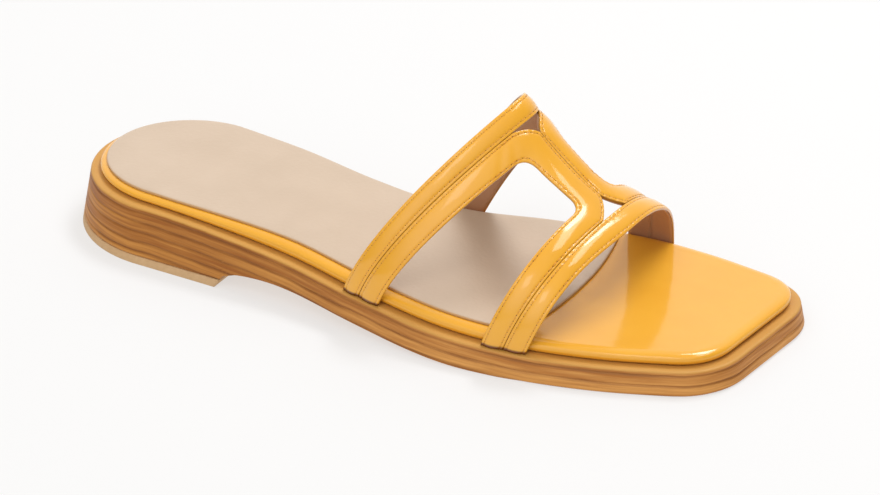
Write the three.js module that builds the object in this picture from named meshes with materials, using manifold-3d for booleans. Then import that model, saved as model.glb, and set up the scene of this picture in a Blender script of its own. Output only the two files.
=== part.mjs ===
// Flat slide sandal for the right foot: two padded cross straps joined by a bridge over the instep,
// on a wrapped footbed, a stacked outsole and a low heel.
// Millimetres. +Z is up, +X runs to the toe and +Y to the inner (medial) side of the foot.
// Stations along the shoe are measured from the back of the footbed, and the last lines move the
// whole shoe so that its origin is on the floor under the middle of its box.

import * as THREE from "three";
import { mergeVertices } from "three/addons/utils/BufferGeometryUtils.js";
import Module from "manifold-3d";

const wasm = await Module();
wasm.setup();

// Footbed plan: half widths either side of the heel's centre line.
const FOOTBED_LENGTH = 252;
const FOOTBED_WIDTHS = [
  { x: 30, lateral: 31.6, medial: 30.4 },
  { x: 62, lateral: 32.8, medial: 27.6 },
  { x: 95, lateral: 34.8, medial: 23.1 },
  { x: 128, lateral: 40.4, medial: 24.7 },
  { x: 160, lateral: 43.5, medial: 37.5 },
  { x: 190, lateral: 40.4, medial: 44.5 },
  { x: 215, lateral: 34.2, medial: 44.3 },
  { x: 240, lateral: 24.4, medial: 40.9 },
];
const HEEL_ROUND_LENGTH = 34.6;
const TOE_SKEW = 0.09;
const TOE_SKEW_PIVOT_Y = 20;
const LATERAL = { column: "lateral", sign: -1, toeCorner: 13, bridge: 10, frontTriangle: 8.4 };
const MEDIAL = { column: "medial", sign: 1, toeCorner: 16.5, bridge: 8, frontTriangle: 4.6 };
const HEEL_STEPS = 10;
const SIDE_STEPS = 18;
const CORNER_STEPS = 6;
const TOE_CORNER_PASSES = 8;

// Outsole: its upper surface falls from the heel to the forefoot, and its side flares to the floor.
const HEEL_HEIGHT = 20.6;
const FOREFOOT_THICKNESS = 8.7;
const RAMP_START_X = 22;
const RAMP_END_X = 200;
const LEDGE_WIDTH = 4;
const LEDGE_BEVEL = 0.6;
const SIDE_FLARE = 0.184;
const TOP_BAND_DEPTH = 3.4;
const LAYER_DEPTH = 2.9;
const LAYER_GROOVE_DEPTH = 0.45;
const LAYER_GROOVE_HALF_WIDTH = 0.35;
const BLOCK_DEPTH = 24;

// Underside, as heights over the floor along the shoe: heel seat, arch, flat tread and toe spring.
const TOP_LIFT_THICKNESS = 3;
const TOP_LIFT_FRONT_FLOOR_X = 66;
const TOP_LIFT_FRONT_TOP_X = 68;
const UNDERSIDE = [
  { x: 69, height: 4.6 },
  { x: 76, height: 6.5 },
  { x: 92, height: 7.0 },
  { x: 120, height: 4.6 },
  { x: 145, height: 2 },
  { x: 164, height: 0.5 },
  { x: 182, height: 0 },
];
const TOE_SPRING_START_X = 234;
const TOE_SPRING_END_X = 264;
const TOE_SPRING_HEIGHT = 0.9;
const ARCH_STEPS = 18;
const TOE_SPRING_STEPS = 5;
const CUTTER_REACH = 60;

// Footbed rim, as heights over the outsole and offsets from the plan.
const SEAT_GAP = 0.3;
const RIM_PROFILE = [
  { height: SEAT_GAP, offset: -0.9 },
  { height: 0.9, offset: 0 },
  { height: 2.2, offset: 0.6 },
  { height: 3.4, offset: 0.2 },
  { height: 4.1, offset: -1 },
  { height: 4.3, offset: -2.4 },
];
const FOOTBED_HEIGHT = RIM_PROFILE.at(-1).height;

// Sock lining: a thin cover from the heel to under the front strap, with a bowed front edge.
const SOCK_INSET = 3.4;
const SOCK_THICKNESS = 0.8;
const SOCK_FRONT_STEPS = 16;
const SOCK_FRONT = [
  { y: -60, x: 181 },
  { y: -21, x: 187.5 },
  { y: 7, x: 189 },
  { y: 30, x: 185.5 },
  { y: 60, x: 176 },
];

// Straps. Each row is one edge that runs over the instep from the lateral to the medial side of the sole.
// Rises and crowns are the lengths of the curve's handles as shares of its height and half width, leans
// tip the foot of the curve to the toe, flares tip it outwards, and the sweep turns the crown to the toe.
// A tilt is the rise of the edge at the crown for each millimetre to the medial side.
const REAR_ARCH = {
  lateral: { rise: 0.53, crown: 0.26, lean: 0.44, flare: 0.22 },
  medial: { rise: 0.75, crown: 0.75, lean: 0.45, flare: 0.18 },
  sweep: 0.17,
};
const FRONT_ARCH = {
  lateral: { rise: 0.64, crown: 0.6, lean: 0.42, flare: 0.14 },
  medial: { rise: 0.3, crown: 0.64, lean: -0.06, flare: 0 },
  sweep: 0.12,
};
// The rows go from the back of the rear strap to the front of the front strap.
const STRAP_EDGES = [
  { lateralX: 119, medialX: 118, crownX: 159, crownZ: 73.9, tilt: 0.18, arch: REAR_ARCH },
  { lateralX: 134, medialX: 133.5, crownX: 171, crownZ: 61.7, tilt: 0.14, arch: REAR_ARCH },
  { lateralX: 174.5, medialX: 182.5, crownX: 191, crownZ: 46.3, tilt: 0.03, arch: FRONT_ARCH },
  { lateralX: 190.5, medialX: 199.5, crownX: 205.5, crownZ: 38.9, tilt: 0.13, arch: FRONT_ARCH },
];
const CROWN_Y = 7.1;
const STRAP_FOOT_OFFSET = 2.25;
const STRAP_FOOT_GAP = 0.6;

// Strap edges are numbered 0 to 3 from back to front, so a seam is about halfway between two of them.
const REAR_SEAM = 0.45;
const WINDOW_BACK = 1;
const WINDOW_FRONT = 2;
const FRONT_SEAM = 2.5;
const LAST_EDGE = 3;
const WINDOW_CORNER = 6;
const WINDOW_CORNER_EDGES = 0.23;
const REAR_TRIANGLE = { halfWidth: 8.8, shoulder: 2, shoulderEdge: 0.56, tipEdge: 0.79 };
const FRONT_TRIANGLE = { shoulder: 1.5, shoulderEdge: 2.26, tipEdge: 2.03 };

// Padded bands, as shares of the band's width and heights from the middle of the wall.
const BAND_DOME = [
  { share: 0, height: -0.1 },
  { share: 0.05, height: 0.6 },
  { share: 0.18, height: 1.05 },
  { share: 0.5, height: 1.3 },
  { share: 0.82, height: 1.05 },
  { share: 0.95, height: 0.6 },
  { share: 1, height: -0.1 },
];
const OUTER_BAND_FLOOR = -1;
const LATERAL_FRAME_FLOOR = -0.87;
const MEDIAL_FRAME_FLOOR = -0.74;
const SEAM_LAP = 0.4;
const SEAM_LAP_EDGES = 0.03;
const OUTER_BAND_STEPS = 44;
const FRAME_STEPS = [16, 9, 7, 9, 15];

const COLOURS = {
  outsole: { color: 0xb87f45, roughness: 0.55 },
  top_lift: { color: 0xcdb08a, roughness: 0.8 },
  footbed: { color: 0xf0a93a, roughness: 0.15 },
  sock_lining: { color: 0xdecbb5, roughness: 0.6 },
  upper: { color: 0xf0b040, roughness: 0.15 },
};

// A smooth curve through one column of a table, straight beyond its last row.
function through(rows, column, x) {
  const last = rows.length - 1;
  const slope = (i) => {
    const before = rows[Math.max(i - 1, 0)];
    const after = rows[Math.min(i + 1, last)];
    return (after[column] - before[column]) / (after.x - before.x);
  };
  if (x >= rows[last].x) {
    return rows[last][column] + slope(last) * (x - rows[last].x);
  }
  const i = Math.max(rows.findIndex((row) => row.x > x) - 1, 0);
  const span = rows[i + 1].x - rows[i].x;
  const u = (x - rows[i].x) / span;
  const startTangent = slope(i) * span;
  const endTangent = slope(i + 1) * span;
  const rise = rows[i + 1][column] - rows[i][column];
  return rows[i][column] + u * (startTangent + u * (3 * rise - 2 * startTangent - endTangent
    + u * (startTangent + endTangent - 2 * rise)));
}

function halfWidth(side, x) {
  return through(FOOTBED_WIDTHS, side.column, x);
}

// Height of the outsole's upper surface over the floor.
function outsoleTop(x) {
  const fall = THREE.MathUtils.smoothstep(x, RAMP_START_X, RAMP_END_X);
  return THREE.MathUtils.lerp(HEEL_HEIGHT, FOREFOOT_THICKNESS, fall);
}

// Where one side of the plan would meet the slanted toe line if its corner weren't rounded.
function toeCorner(side) {
  const corner = new THREE.Vector2(FOOTBED_LENGTH, 0);
  for (let pass = 0; pass < TOE_CORNER_PASSES; pass += 1) {
    corner.y = side.sign * halfWidth(side, corner.x);
    corner.x = FOOTBED_LENGTH + TOE_SKEW * (corner.y - TOE_SKEW_PIVOT_Y);
  }
  return corner;
}

// One side of the footbed's plan, from the middle of the heel to the toe line.
function sideOutline(side, otherSide) {
  const points = [];
  const heelWidth = halfWidth(side, HEEL_ROUND_LENGTH);
  for (let i = 0; i < HEEL_STEPS; i += 1) {
    const angle = (i / HEEL_STEPS) * (Math.PI / 2);
    const x = HEEL_ROUND_LENGTH * (1 - Math.cos(angle));
    points.push(new THREE.Vector2(x, side.sign * heelWidth * Math.sin(angle)));
  }
  const corner = toeCorner(side);
  const cornerX = corner.x - side.toeCorner;
  for (let i = 0; i < SIDE_STEPS; i += 1) {
    const x = THREE.MathUtils.lerp(HEEL_ROUND_LENGTH, cornerX, i / SIDE_STEPS);
    points.push(new THREE.Vector2(x, side.sign * halfWidth(side, x)));
  }
  const cornerStart = new THREE.Vector2(cornerX, side.sign * halfWidth(side, cornerX));
  const alongToe = toeCorner(otherSide).sub(corner).setLength(side.toeCorner);
  const cornerEnd = corner.clone().add(alongToe);
  const round = new THREE.QuadraticBezierCurve(cornerStart, corner, cornerEnd);
  return points.concat(round.getPoints(CORNER_STEPS));
}

// The plan as a closed loop, counterclockwise from above, with its outward normals.
function footbedPlan() {
  const medial = sideOutline(MEDIAL, LATERAL).slice(1).reverse();
  const loop = sideOutline(LATERAL, MEDIAL).concat(medial);
  return loop.map((point, i) => {
    const before = loop[(i + loop.length - 1) % loop.length];
    const after = loop[(i + 1) % loop.length];
    const normal = new THREE.Vector2(after.y - before.y, before.x - after.x).normalize();
    return { point, normal };
  });
}

const PLAN = footbedPlan();

// A loop parallel to the plan. Its offset and its height may change along the shoe.
function planRing(offsetAt, heightAt) {
  return PLAN.map(({ point, normal }) => {
    const moved = point.clone().addScaledVector(normal, offsetAt(point.x));
    return new THREE.Vector3(moved.x, moved.y, heightAt(moved.x));
  });
}

// Cap of a plan loop: strips straight across the shoe, so that the surface bends only along it.
function planCap(count) {
  const triangles = [[0, 1, count - 1]];
  for (let i = 1; 2 * i + 1 < count; i += 1) {
    triangles.push([i, i + 1, count - i]);
    if (i + 1 < count - i - 1) {
      triangles.push([i + 1, count - i - 1, count - i]);
    }
  }
  return triangles;
}

// Cap of a convex loop: a fan from its first point.
function fanCap(count) {
  return Array.from({ length: count - 2 }, (_, i) => [0, i + 1, i + 2]);
}

// A closed solid through loops with the same number of points.
function loft(rings, cap) {
  const count = rings[0].length;
  const triangles = [];
  for (let r = 0; r + 1 < rings.length; r += 1) {
    for (let i = 0; i < count; i += 1) {
      const a = r * count + i;
      const b = r * count + ((i + 1) % count);
      triangles.push([a, b, b + count], [a, b + count, a + count]);
    }
  }
  const lastRing = (rings.length - 1) * count;
  for (const [a, b, c] of cap(count)) {
    triangles.push([a, c, b], [lastRing + a, lastRing + b, lastRing + c]);
  }
  const vertProperties = new Float32Array(rings.flat().flatMap((p) => [p.x, p.y, p.z]));
  const triVerts = new Uint32Array(triangles.flat());
  const mesh = new wasm.Mesh({ numProp: 3, vertProperties, triVerts });
  return new wasm.Manifold(mesh);
}

// A three.js geometry as a solid that can be cut and joined.
function solidOf(geometry) {
  const bare = new THREE.BufferGeometry();
  bare.setAttribute("position", geometry.getAttribute("position"));
  bare.setIndex(geometry.index);
  const merged = mergeVertices(bare);
  const vertProperties = new Float32Array(merged.getAttribute("position").array);
  const triVerts = new Uint32Array(merged.index.array);
  return new wasm.Manifold(new wasm.Mesh({ numProp: 3, vertProperties, triVerts }));
}

// A prism across the shoe from an outline of stations and heights.
function prismAcross(outline) {
  const shape = new THREE.Shape(outline);
  const geometry = new THREE.ExtrudeGeometry(shape, { depth: 2 * CUTTER_REACH, bevelEnabled: false });
  geometry.rotateX(Math.PI / 2);
  geometry.translate(0, CUTTER_REACH, 0);
  return solidOf(geometry);
}

// An upright prism from an outline in plan.
function uprightPrism(outline) {
  const shape = new THREE.Shape(outline);
  return solidOf(new THREE.ExtrudeGeometry(shape, { depth: CUTTER_REACH, bevelEnabled: false }));
}

function sideOffset(depth) {
  return LEDGE_WIDTH + SIDE_FLARE * depth;
}

// Side of the outsole from its foot to its ledge: layers with a groove over each, then the top band.
function outsoleSideRows() {
  const rows = [{ depth: BLOCK_DEPTH, offset: sideOffset(BLOCK_DEPTH) }];
  const layers = Math.floor((BLOCK_DEPTH - TOP_BAND_DEPTH - LAYER_GROOVE_HALF_WIDTH) / LAYER_DEPTH);
  for (let layer = layers; layer >= 0; layer -= 1) {
    const depth = TOP_BAND_DEPTH + layer * LAYER_DEPTH;
    const lower = depth + LAYER_GROOVE_HALF_WIDTH;
    const upper = depth - LAYER_GROOVE_HALF_WIDTH;
    rows.push({ depth: lower, offset: sideOffset(lower) });
    rows.push({ depth, offset: sideOffset(depth) - LAYER_GROOVE_DEPTH });
    rows.push({ depth: upper, offset: sideOffset(upper) });
  }
  rows.push({ depth: LEDGE_BEVEL, offset: sideOffset(LEDGE_BEVEL) });
  rows.push({ depth: 0, offset: LEDGE_WIDTH - LEDGE_BEVEL });
  return rows;
}

// Everything under the sole: the floor, the heel lift's place, the arch and the toe spring.
function spaceUnderSole() {
  const arch = new THREE.SplineCurve(UNDERSIDE.map((row) => new THREE.Vector2(row.x, row.height)));
  const flatStart = UNDERSIDE.at(-1).x;
  const seat = TOP_LIFT_THICKNESS + SEAT_GAP;
  const toeSpring = new THREE.QuadraticBezierCurve(
    new THREE.Vector2(TOE_SPRING_START_X, 0),
    new THREE.Vector2((TOE_SPRING_START_X + TOE_SPRING_END_X) / 2, 0),
    new THREE.Vector2(TOE_SPRING_END_X, TOE_SPRING_HEIGHT),
  );
  return prismAcross([
    new THREE.Vector2(-CUTTER_REACH, -CUTTER_REACH),
    new THREE.Vector2(TOE_SPRING_END_X + CUTTER_REACH, -CUTTER_REACH),
    new THREE.Vector2(TOE_SPRING_END_X + CUTTER_REACH, TOE_SPRING_HEIGHT),
    ...toeSpring.getPoints(TOE_SPRING_STEPS).reverse(),
    new THREE.Vector2(flatStart, 0),
    ...arch.getPoints(ARCH_STEPS).reverse().slice(1),
    new THREE.Vector2(TOP_LIFT_FRONT_TOP_X, seat),
    new THREE.Vector2(-CUTTER_REACH, seat),
  ]);
}

function makeOutsole() {
  const ringOf = (row) => planRing(() => row.offset, (x) => outsoleTop(x) - row.depth);
  const rings = outsoleSideRows().map(ringOf);
  return loft(rings, planCap).subtract(spaceUnderSole());
}

function makeTopLift() {
  const heights = [0, TOP_LIFT_THICKNESS];
  const rings = heights.map((height) => planRing((x) => sideOffset(outsoleTop(x) - height), () => height));
  const heelPart = prismAcross([
    new THREE.Vector2(-CUTTER_REACH, -CUTTER_REACH),
    new THREE.Vector2(TOP_LIFT_FRONT_FLOOR_X, -CUTTER_REACH),
    new THREE.Vector2(TOP_LIFT_FRONT_FLOOR_X, 0),
    new THREE.Vector2(TOP_LIFT_FRONT_TOP_X, TOP_LIFT_THICKNESS),
    new THREE.Vector2(TOP_LIFT_FRONT_TOP_X, CUTTER_REACH),
    new THREE.Vector2(-CUTTER_REACH, CUTTER_REACH),
  ]);
  return loft(rings, planCap).intersect(heelPart);
}

function makeFootbed() {
  const rings = RIM_PROFILE.map((row) => planRing(() => row.offset, (x) => outsoleTop(x) + row.height));
  return loft(rings, planCap);
}

function makeSockLining() {
  const bottom = FOOTBED_HEIGHT + SEAT_GAP;
  const heights = [bottom, bottom + SOCK_THICKNESS];
  const rings = heights.map((height) => planRing(() => -SOCK_INSET, (x) => outsoleTop(x) + height));
  const front = new THREE.SplineCurve(SOCK_FRONT.map((row) => new THREE.Vector2(row.x, row.y)));
  const covered = uprightPrism([
    new THREE.Vector2(-CUTTER_REACH, SOCK_FRONT[0].y),
    ...front.getPoints(SOCK_FRONT_STEPS),
    new THREE.Vector2(-CUTTER_REACH, SOCK_FRONT.at(-1).y),
  ]);
  return loft(rings, planCap).intersect(covered);
}

// One strap edge as two curves, from the lateral foot to the crown and on to the medial foot.
function strapEdgeCurves({ lateralX, medialX, crownX, crownZ, tilt, arch }) {
  const crown = new THREE.Vector3(crownX, CROWN_Y, crownZ);
  const half = (side, x, shape) => {
    const y = side.sign * (halfWidth(side, x) + STRAP_FOOT_OFFSET);
    const foot = new THREE.Vector3(x, y, outsoleTop(x) + STRAP_FOOT_GAP);
    const rise = shape.rise * (crownZ - foot.z);
    const reach = shape.crown * (foot.y - CROWN_Y);
    const upwards = new THREE.Vector3(shape.lean, side.sign * shape.flare, 1);
    const outwards = new THREE.Vector3(arch.sweep, 1, tilt);
    const overFoot = foot.clone().addScaledVector(upwards, rise);
    const besideCrown = crown.clone().addScaledVector(outwards, reach);
    return new THREE.CubicBezierCurve3(foot, overFoot, besideCrown, crown);
  };
  return { lateral: half(LATERAL, lateralX, arch.lateral), medial: half(MEDIAL, medialX, arch.medial) };
}

const EDGE_CURVES = STRAP_EDGES.map(strapEdgeCurves);
const EDGE_LENGTHS = EDGE_CURVES.map((curves, x) => ({
  x,
  lateral: curves.lateral.getLength(),
  medial: curves.medial.getLength(),
}));

// Middle of the strap wall. around runs from -1 at the lateral foot over 0 at the crown to 1 at the
// medial foot, and edge is the number of the strap edge, with fractions in between.
function wallPoint(around, edge) {
  const column = around < 0 ? "lateral" : "medial";
  const share = 1 - Math.min(Math.abs(around), 1);
  const across = EDGE_CURVES.map((curves) => curves[column].getPointAt(share));
  return new THREE.CatmullRomCurve3(across, false, "chordal").getPoint(edge / LAST_EDGE);
}

function wallNormal(around, edge) {
  const step = 0.01;
  const back = wallPoint(Math.max(around - step, -1), edge);
  const ahead = wallPoint(Math.min(around + step, 1), edge);
  const rear = wallPoint(around, Math.max(edge - step, 0));
  const front = wallPoint(around, Math.min(edge + step, LAST_EDGE));
  return front.sub(rear).cross(ahead.sub(back)).normalize();
}

// A place on the wall from a distance to the crown line, negative on the lateral side.
function place(distance, edge) {
  const column = distance < 0 ? "lateral" : "medial";
  return new THREE.Vector2(distance / through(EDGE_LENGTHS, column, edge), edge);
}

// A padded band between two edges, each a list of curves on the wall with as many steps as the other.
function makeBand(firstEdge, secondEdge, steps, floor) {
  const profile = BAND_DOME.concat([{ share: 1, height: floor }, { share: 0, height: floor }]);
  const rings = [];
  steps.forEach((count, piece) => {
    for (let i = piece === 0 ? 0 : 1; i <= count; i += 1) {
      const first = firstEdge[piece].getPoint(i / count);
      const second = secondEdge[piece].getPoint(i / count);
      rings.push(profile.map(({ share, height }) => {
        const at = first.clone().lerp(second, share);
        return wallPoint(at.x, at.y).addScaledVector(wallNormal(at.x, at.y), height);
      }));
    }
  });
  return loft(rings, fanCap);
}

function makeOuterBand(backEdge, frontEdge) {
  const line = (edge) => [new THREE.LineCurve(new THREE.Vector2(-1, edge), new THREE.Vector2(1, edge))];
  return makeBand(line(backEdge), line(frontEdge), [OUTER_BAND_STEPS], OUTER_BAND_FLOOR);
}

// A frame round one window: up the rear strap, along the bridge and down the front strap.
function makeFrame(side, floor) {
  const { sign, bridge } = side;
  const at = (distance, edge) => place(sign * distance, edge);
  const foot = (edge) => new THREE.Vector2(sign, edge);
  const line = (a, b) => new THREE.LineCurve(a, b);
  const bend = (a, b, c) => new THREE.QuadraticBezierCurve(a, b, c);

  const rearSeam = REAR_SEAM - SEAM_LAP_EDGES;
  const frontSeam = FRONT_SEAM + SEAM_LAP_EDGES;
  const rearSide = at(REAR_TRIANGLE.halfWidth, rearSeam);
  const rearShoulder = at(REAR_TRIANGLE.shoulder, REAR_TRIANGLE.shoulderEdge);
  const rearTip = at(-SEAM_LAP, REAR_TRIANGLE.tipEdge);
  const frontTip = at(-SEAM_LAP, FRONT_TRIANGLE.tipEdge);
  const frontShoulder = at(FRONT_TRIANGLE.shoulder, FRONT_TRIANGLE.shoulderEdge);
  const frontSide = at(side.frontTriangle, frontSeam);
  const seamEdge = [
    line(foot(rearSeam), rearSide),
    bend(rearSide, rearShoulder, rearTip),
    line(rearTip, frontTip),
    bend(frontTip, frontShoulder, frontSide),
    line(frontSide, foot(frontSeam)),
  ];

  const cornerReach = bridge + WINDOW_CORNER;
  const rearCornerStart = at(cornerReach, WINDOW_BACK);
  const rearCornerEnd = at(bridge, WINDOW_BACK + WINDOW_CORNER_EDGES);
  const frontCornerStart = at(bridge, WINDOW_FRONT - WINDOW_CORNER_EDGES);
  const frontCornerEnd = at(cornerReach, WINDOW_FRONT);
  const windowEdge = [
    line(foot(WINDOW_BACK), rearCornerStart),
    bend(rearCornerStart, at(bridge, WINDOW_BACK), rearCornerEnd),
    line(rearCornerEnd, frontCornerStart),
    bend(frontCornerStart, at(bridge, WINDOW_FRONT), frontCornerEnd),
    line(frontCornerEnd, foot(WINDOW_FRONT)),
  ];
  const edges = side === LATERAL ? [seamEdge, windowEdge] : [windowEdge, seamEdge];
  return makeBand(edges[0], edges[1], FRAME_STEPS, floor);
}

function makeUpper() {
  const rearBand = makeOuterBand(0, REAR_SEAM + SEAM_LAP_EDGES);
  const frontBand = makeOuterBand(FRONT_SEAM - SEAM_LAP_EDGES, LAST_EDGE);
  const lateralFrame = makeFrame(LATERAL, LATERAL_FRAME_FLOOR);
  const medialFrame = makeFrame(MEDIAL, MEDIAL_FRAME_FLOOR);
  return rearBand.add(lateralFrame).add(medialFrame).add(frontBand);
}

// A named mesh with its own finish.
function pieceOf(name, solid) {
  const { vertProperties, triVerts } = solid.getMesh();
  const geometry = new THREE.BufferGeometry();
  geometry.setAttribute("position", new THREE.BufferAttribute(new Float32Array(vertProperties), 3));
  geometry.setIndex(new THREE.BufferAttribute(new Uint32Array(triVerts), 1));
  geometry.computeVertexNormals();
  const material = new THREE.MeshStandardMaterial({ ...COLOURS[name], metalness: 0 });
  const piece = new THREE.Mesh(geometry, material);
  piece.name = name;
  return piece;
}

const sandal = new THREE.Group();
sandal.add(pieceOf("outsole", makeOutsole()));
sandal.add(pieceOf("top_lift", makeTopLift()));
sandal.add(pieceOf("footbed", makeFootbed()));
sandal.add(pieceOf("sock_lining", makeSockLining()));
sandal.add(pieceOf("upper", makeUpper()));

const middle = new THREE.Box3().setFromObject(sandal).getCenter(new THREE.Vector3());
sandal.position.set(-middle.x, -middle.y, 0);

export default sandal;
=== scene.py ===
# %% [markdown]
# # A flat slide sandal, dressed for its picture
# The solids of the sandal are already made. This lesson loads them as a fixed frame and builds a finer
# piece over each one: the stacked sole, the heel lift, the wrapped footbed, the sock and the straps.
# Sizes are in millimetres, measured from the back of the footbed, and turn into metres in one place.

import math

import bpy
import numpy as np
from mathutils import Matrix, Vector


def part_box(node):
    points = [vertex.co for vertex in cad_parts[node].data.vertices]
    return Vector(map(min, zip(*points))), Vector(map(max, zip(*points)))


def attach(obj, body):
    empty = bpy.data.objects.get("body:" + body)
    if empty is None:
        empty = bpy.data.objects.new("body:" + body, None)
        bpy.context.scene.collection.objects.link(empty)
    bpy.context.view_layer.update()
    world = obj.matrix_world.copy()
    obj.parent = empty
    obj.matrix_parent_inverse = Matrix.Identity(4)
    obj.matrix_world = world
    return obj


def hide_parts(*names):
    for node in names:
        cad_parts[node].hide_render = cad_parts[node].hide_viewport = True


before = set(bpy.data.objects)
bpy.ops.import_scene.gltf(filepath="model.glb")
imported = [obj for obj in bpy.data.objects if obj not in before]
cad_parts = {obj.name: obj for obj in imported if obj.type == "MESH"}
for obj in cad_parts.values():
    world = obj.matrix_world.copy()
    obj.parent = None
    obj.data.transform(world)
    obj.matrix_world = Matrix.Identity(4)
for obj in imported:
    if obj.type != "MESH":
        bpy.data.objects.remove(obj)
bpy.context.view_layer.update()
MM = 0.001
print("solids in the frame:", ", ".join(sorted(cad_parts)))

# %% [markdown]
# ## Camera
# A product picture is taken from well back with a long lens, so that near and far parts keep their
# proportions. The camera could be placed by hand; here it stands on a ray from the point it looks at,
# given by two angles and a distance, because angles are easy to compare with a picture.

# %% Camera
CAMERA_AZIMUTH = math.radians(30.14)
CAMERA_ELEVATION = math.radians(28.23)
CAMERA_ROLL = math.radians(-0.46)
CAMERA_DISTANCE = 1.6117
CAMERA_AIM = Vector((0.0078, -0.0003, 0.0140))
FOCAL_LENGTH = 191.3
SENSOR_WIDTH = 36

right = Vector((math.cos(CAMERA_AZIMUTH), math.sin(CAMERA_AZIMUTH), 0))
level_back = Vector((math.sin(CAMERA_AZIMUTH), -math.cos(CAMERA_AZIMUTH), 0))
back = level_back * math.cos(CAMERA_ELEVATION) + Vector((0, 0, math.sin(CAMERA_ELEVATION)))
up = back.cross(right)
turned = Matrix((right, up, back)).transposed().to_4x4()

camera = bpy.data.objects.new("camera", bpy.data.cameras.new("camera"))
camera.data.lens = FOCAL_LENGTH
camera.data.sensor_width = SENSOR_WIDTH
camera.matrix_world = (
    Matrix.Translation(CAMERA_AIM + back * CAMERA_DISTANCE) @ turned @ Matrix.Rotation(CAMERA_ROLL, 4, "Z")
)
bpy.context.collection.objects.link(camera)
bpy.context.scene.camera = camera
print("camera", round(CAMERA_DISTANCE, 2), "m away,", FOCAL_LENGTH, "mm lens")

# %% [markdown]
# ## Small tools for node trees
# Every finish and every Geometry Nodes tree is a set of nodes with settings and links, so one function
# that adds a node does for all of them: where it is handed another node or a socket it makes a link, and
# otherwise it sets a value. Colours are written as a screen shows them (sRGB hex) and made linear once.

# %% Node and colour tools
def linear(hex_colour):
    """An sRGB hex colour as the linear RGBA that a socket takes."""
    channels = []
    for start in (1, 3, 5):
        value = int(hex_colour[start:start + 2], 16) / 255
        channels.append(value / 12.92 if value <= 0.04045 else ((value + 0.055) / 1.055) ** 2.4)
    return (*channels, 1)


def wire(tree, made, inputs):
    """Fills a node's inputs: a value is set, a socket is linked, a node gives its first live output."""
    for key, value in inputs.items():
        if isinstance(value, bpy.types.Node):
            value = next(socket for socket in value.outputs if socket.enabled)
        if isinstance(value, bpy.types.NodeSocket):
            tree.links.new(value, made.inputs[key])
        else:
            made.inputs[key].default_value = value
    return made


def node(tree, kind, inputs=None, **settings):
    """Adds a node with its settings and its inputs."""
    made = tree.nodes.new(kind)
    for name, value in settings.items():
        setattr(made, name, value)
    return wire(tree, made, inputs or {})


def new_finish(name):
    """A material, its tree and shader, and the coordinates of the piece that wears it."""
    material = bpy.data.materials.new(name)
    material.use_nodes = True
    tree = material.node_tree
    coords = node(tree, "ShaderNodeTexCoord").outputs["Object"]
    return material, tree, tree.nodes["Principled BSDF"], coords


def per_metre(size_mm):
    """The scale of a pattern whose cells are this many millimetres wide."""
    return 1 / (size_mm * MM)


# Input sockets of a Mix node that mixes colours.
MIX_FACTOR, MIX_A, MIX_B = 0, 6, 7
print("linear amber:", [round(value, 3) for value in linear("#F0B040")])

# %% [markdown]
# ## Patent leather
# Patent leather is smooth leather under a thick clear lacquer. The colour comes from a pigmented coat
# with a little cloudiness, and the gloss from the lacquer on top. Principled's coat layer is that
# lacquer. It is bumped along with the leather, because lacquer follows the soft swells of the hide: the
# reflections then run a little unevenly, as on the real thing. Folded edges, seams, the rim's tuck and
# the strap ends get painted shade, a darker amber set by an attribute on the mesh, so that the dark stays
# in the folds from every side. The needle holes get painted shade from small dark shapes of their own.

# %% Patent leather
AMBER = "#EEB038"
AMBER_DEEP = "#E5A32B"
# Painted shade for folds, seams, the rim's tuck and the strap ends.
AMBER_PAINTED_SHADE = "#6A3606"
CLOUD_SIZE = 17.0
SWELL_SIZE = 7.0
SWELL_HEIGHT = 0.07
PEEL_SIZE = 1.6
PEEL_HEIGHT = 0.006
HIDE_ROUGHNESS = 0.38
HIDE_IOR = 1.5
HIDE_SPECULAR = 0.08
LACQUER_ROUGHNESS = 0.11
LACQUER_IOR = 1.5


# To the eye: an even deep yellow, with sharp reflections that waver where the hide swells.
def patent_leather():
    material, tree, shader, coords = new_finish("amber patent leather")
    clouds = node(tree, "ShaderNodeTexNoise", {
        "Vector": coords, "Scale": per_metre(CLOUD_SIZE), "Detail": 3,
    })
    hide = node(tree, "ShaderNodeMix", {
        MIX_FACTOR: clouds, MIX_A: linear(AMBER), MIX_B: linear(AMBER_DEEP),
    }, data_type="RGBA")
    # Painted shade: darker amber where the mesh's attribute marks folds, seams and tucks.
    fold = node(tree, "ShaderNodeAttribute", attribute_name="fold")
    colour = node(tree, "ShaderNodeMix", {
        MIX_FACTOR: fold.outputs["Fac"], MIX_A: hide, MIX_B: linear(AMBER_PAINTED_SHADE),
    }, data_type="RGBA")
    swells = node(tree, "ShaderNodeTexNoise", {
        "Vector": coords, "Scale": per_metre(SWELL_SIZE), "Detail": 1,
    })
    peel = node(tree, "ShaderNodeTexNoise", {
        "Vector": coords, "Scale": per_metre(PEEL_SIZE), "Detail": 2,
    })
    swelling = node(tree, "ShaderNodeBump", {
        "Strength": 1, "Distance": SWELL_HEIGHT * MM, "Height": swells,
    })
    peeling = node(tree, "ShaderNodeBump", {
        "Strength": 1, "Distance": PEEL_HEIGHT * MM, "Height": peel, "Normal": swelling,
    })
    wire(tree, shader, {
        "Base Color": colour, "Normal": peeling, "Coat Normal": peeling,
        "Roughness": HIDE_ROUGHNESS, "IOR": HIDE_IOR, "Specular IOR Level": HIDE_SPECULAR,
        "Coat Weight": 1, "Coat Roughness": LACQUER_ROUGHNESS, "Coat IOR": LACQUER_IOR,
    })
    return material


PATENT = patent_leather()
print("finish:", PATENT.name)
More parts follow.
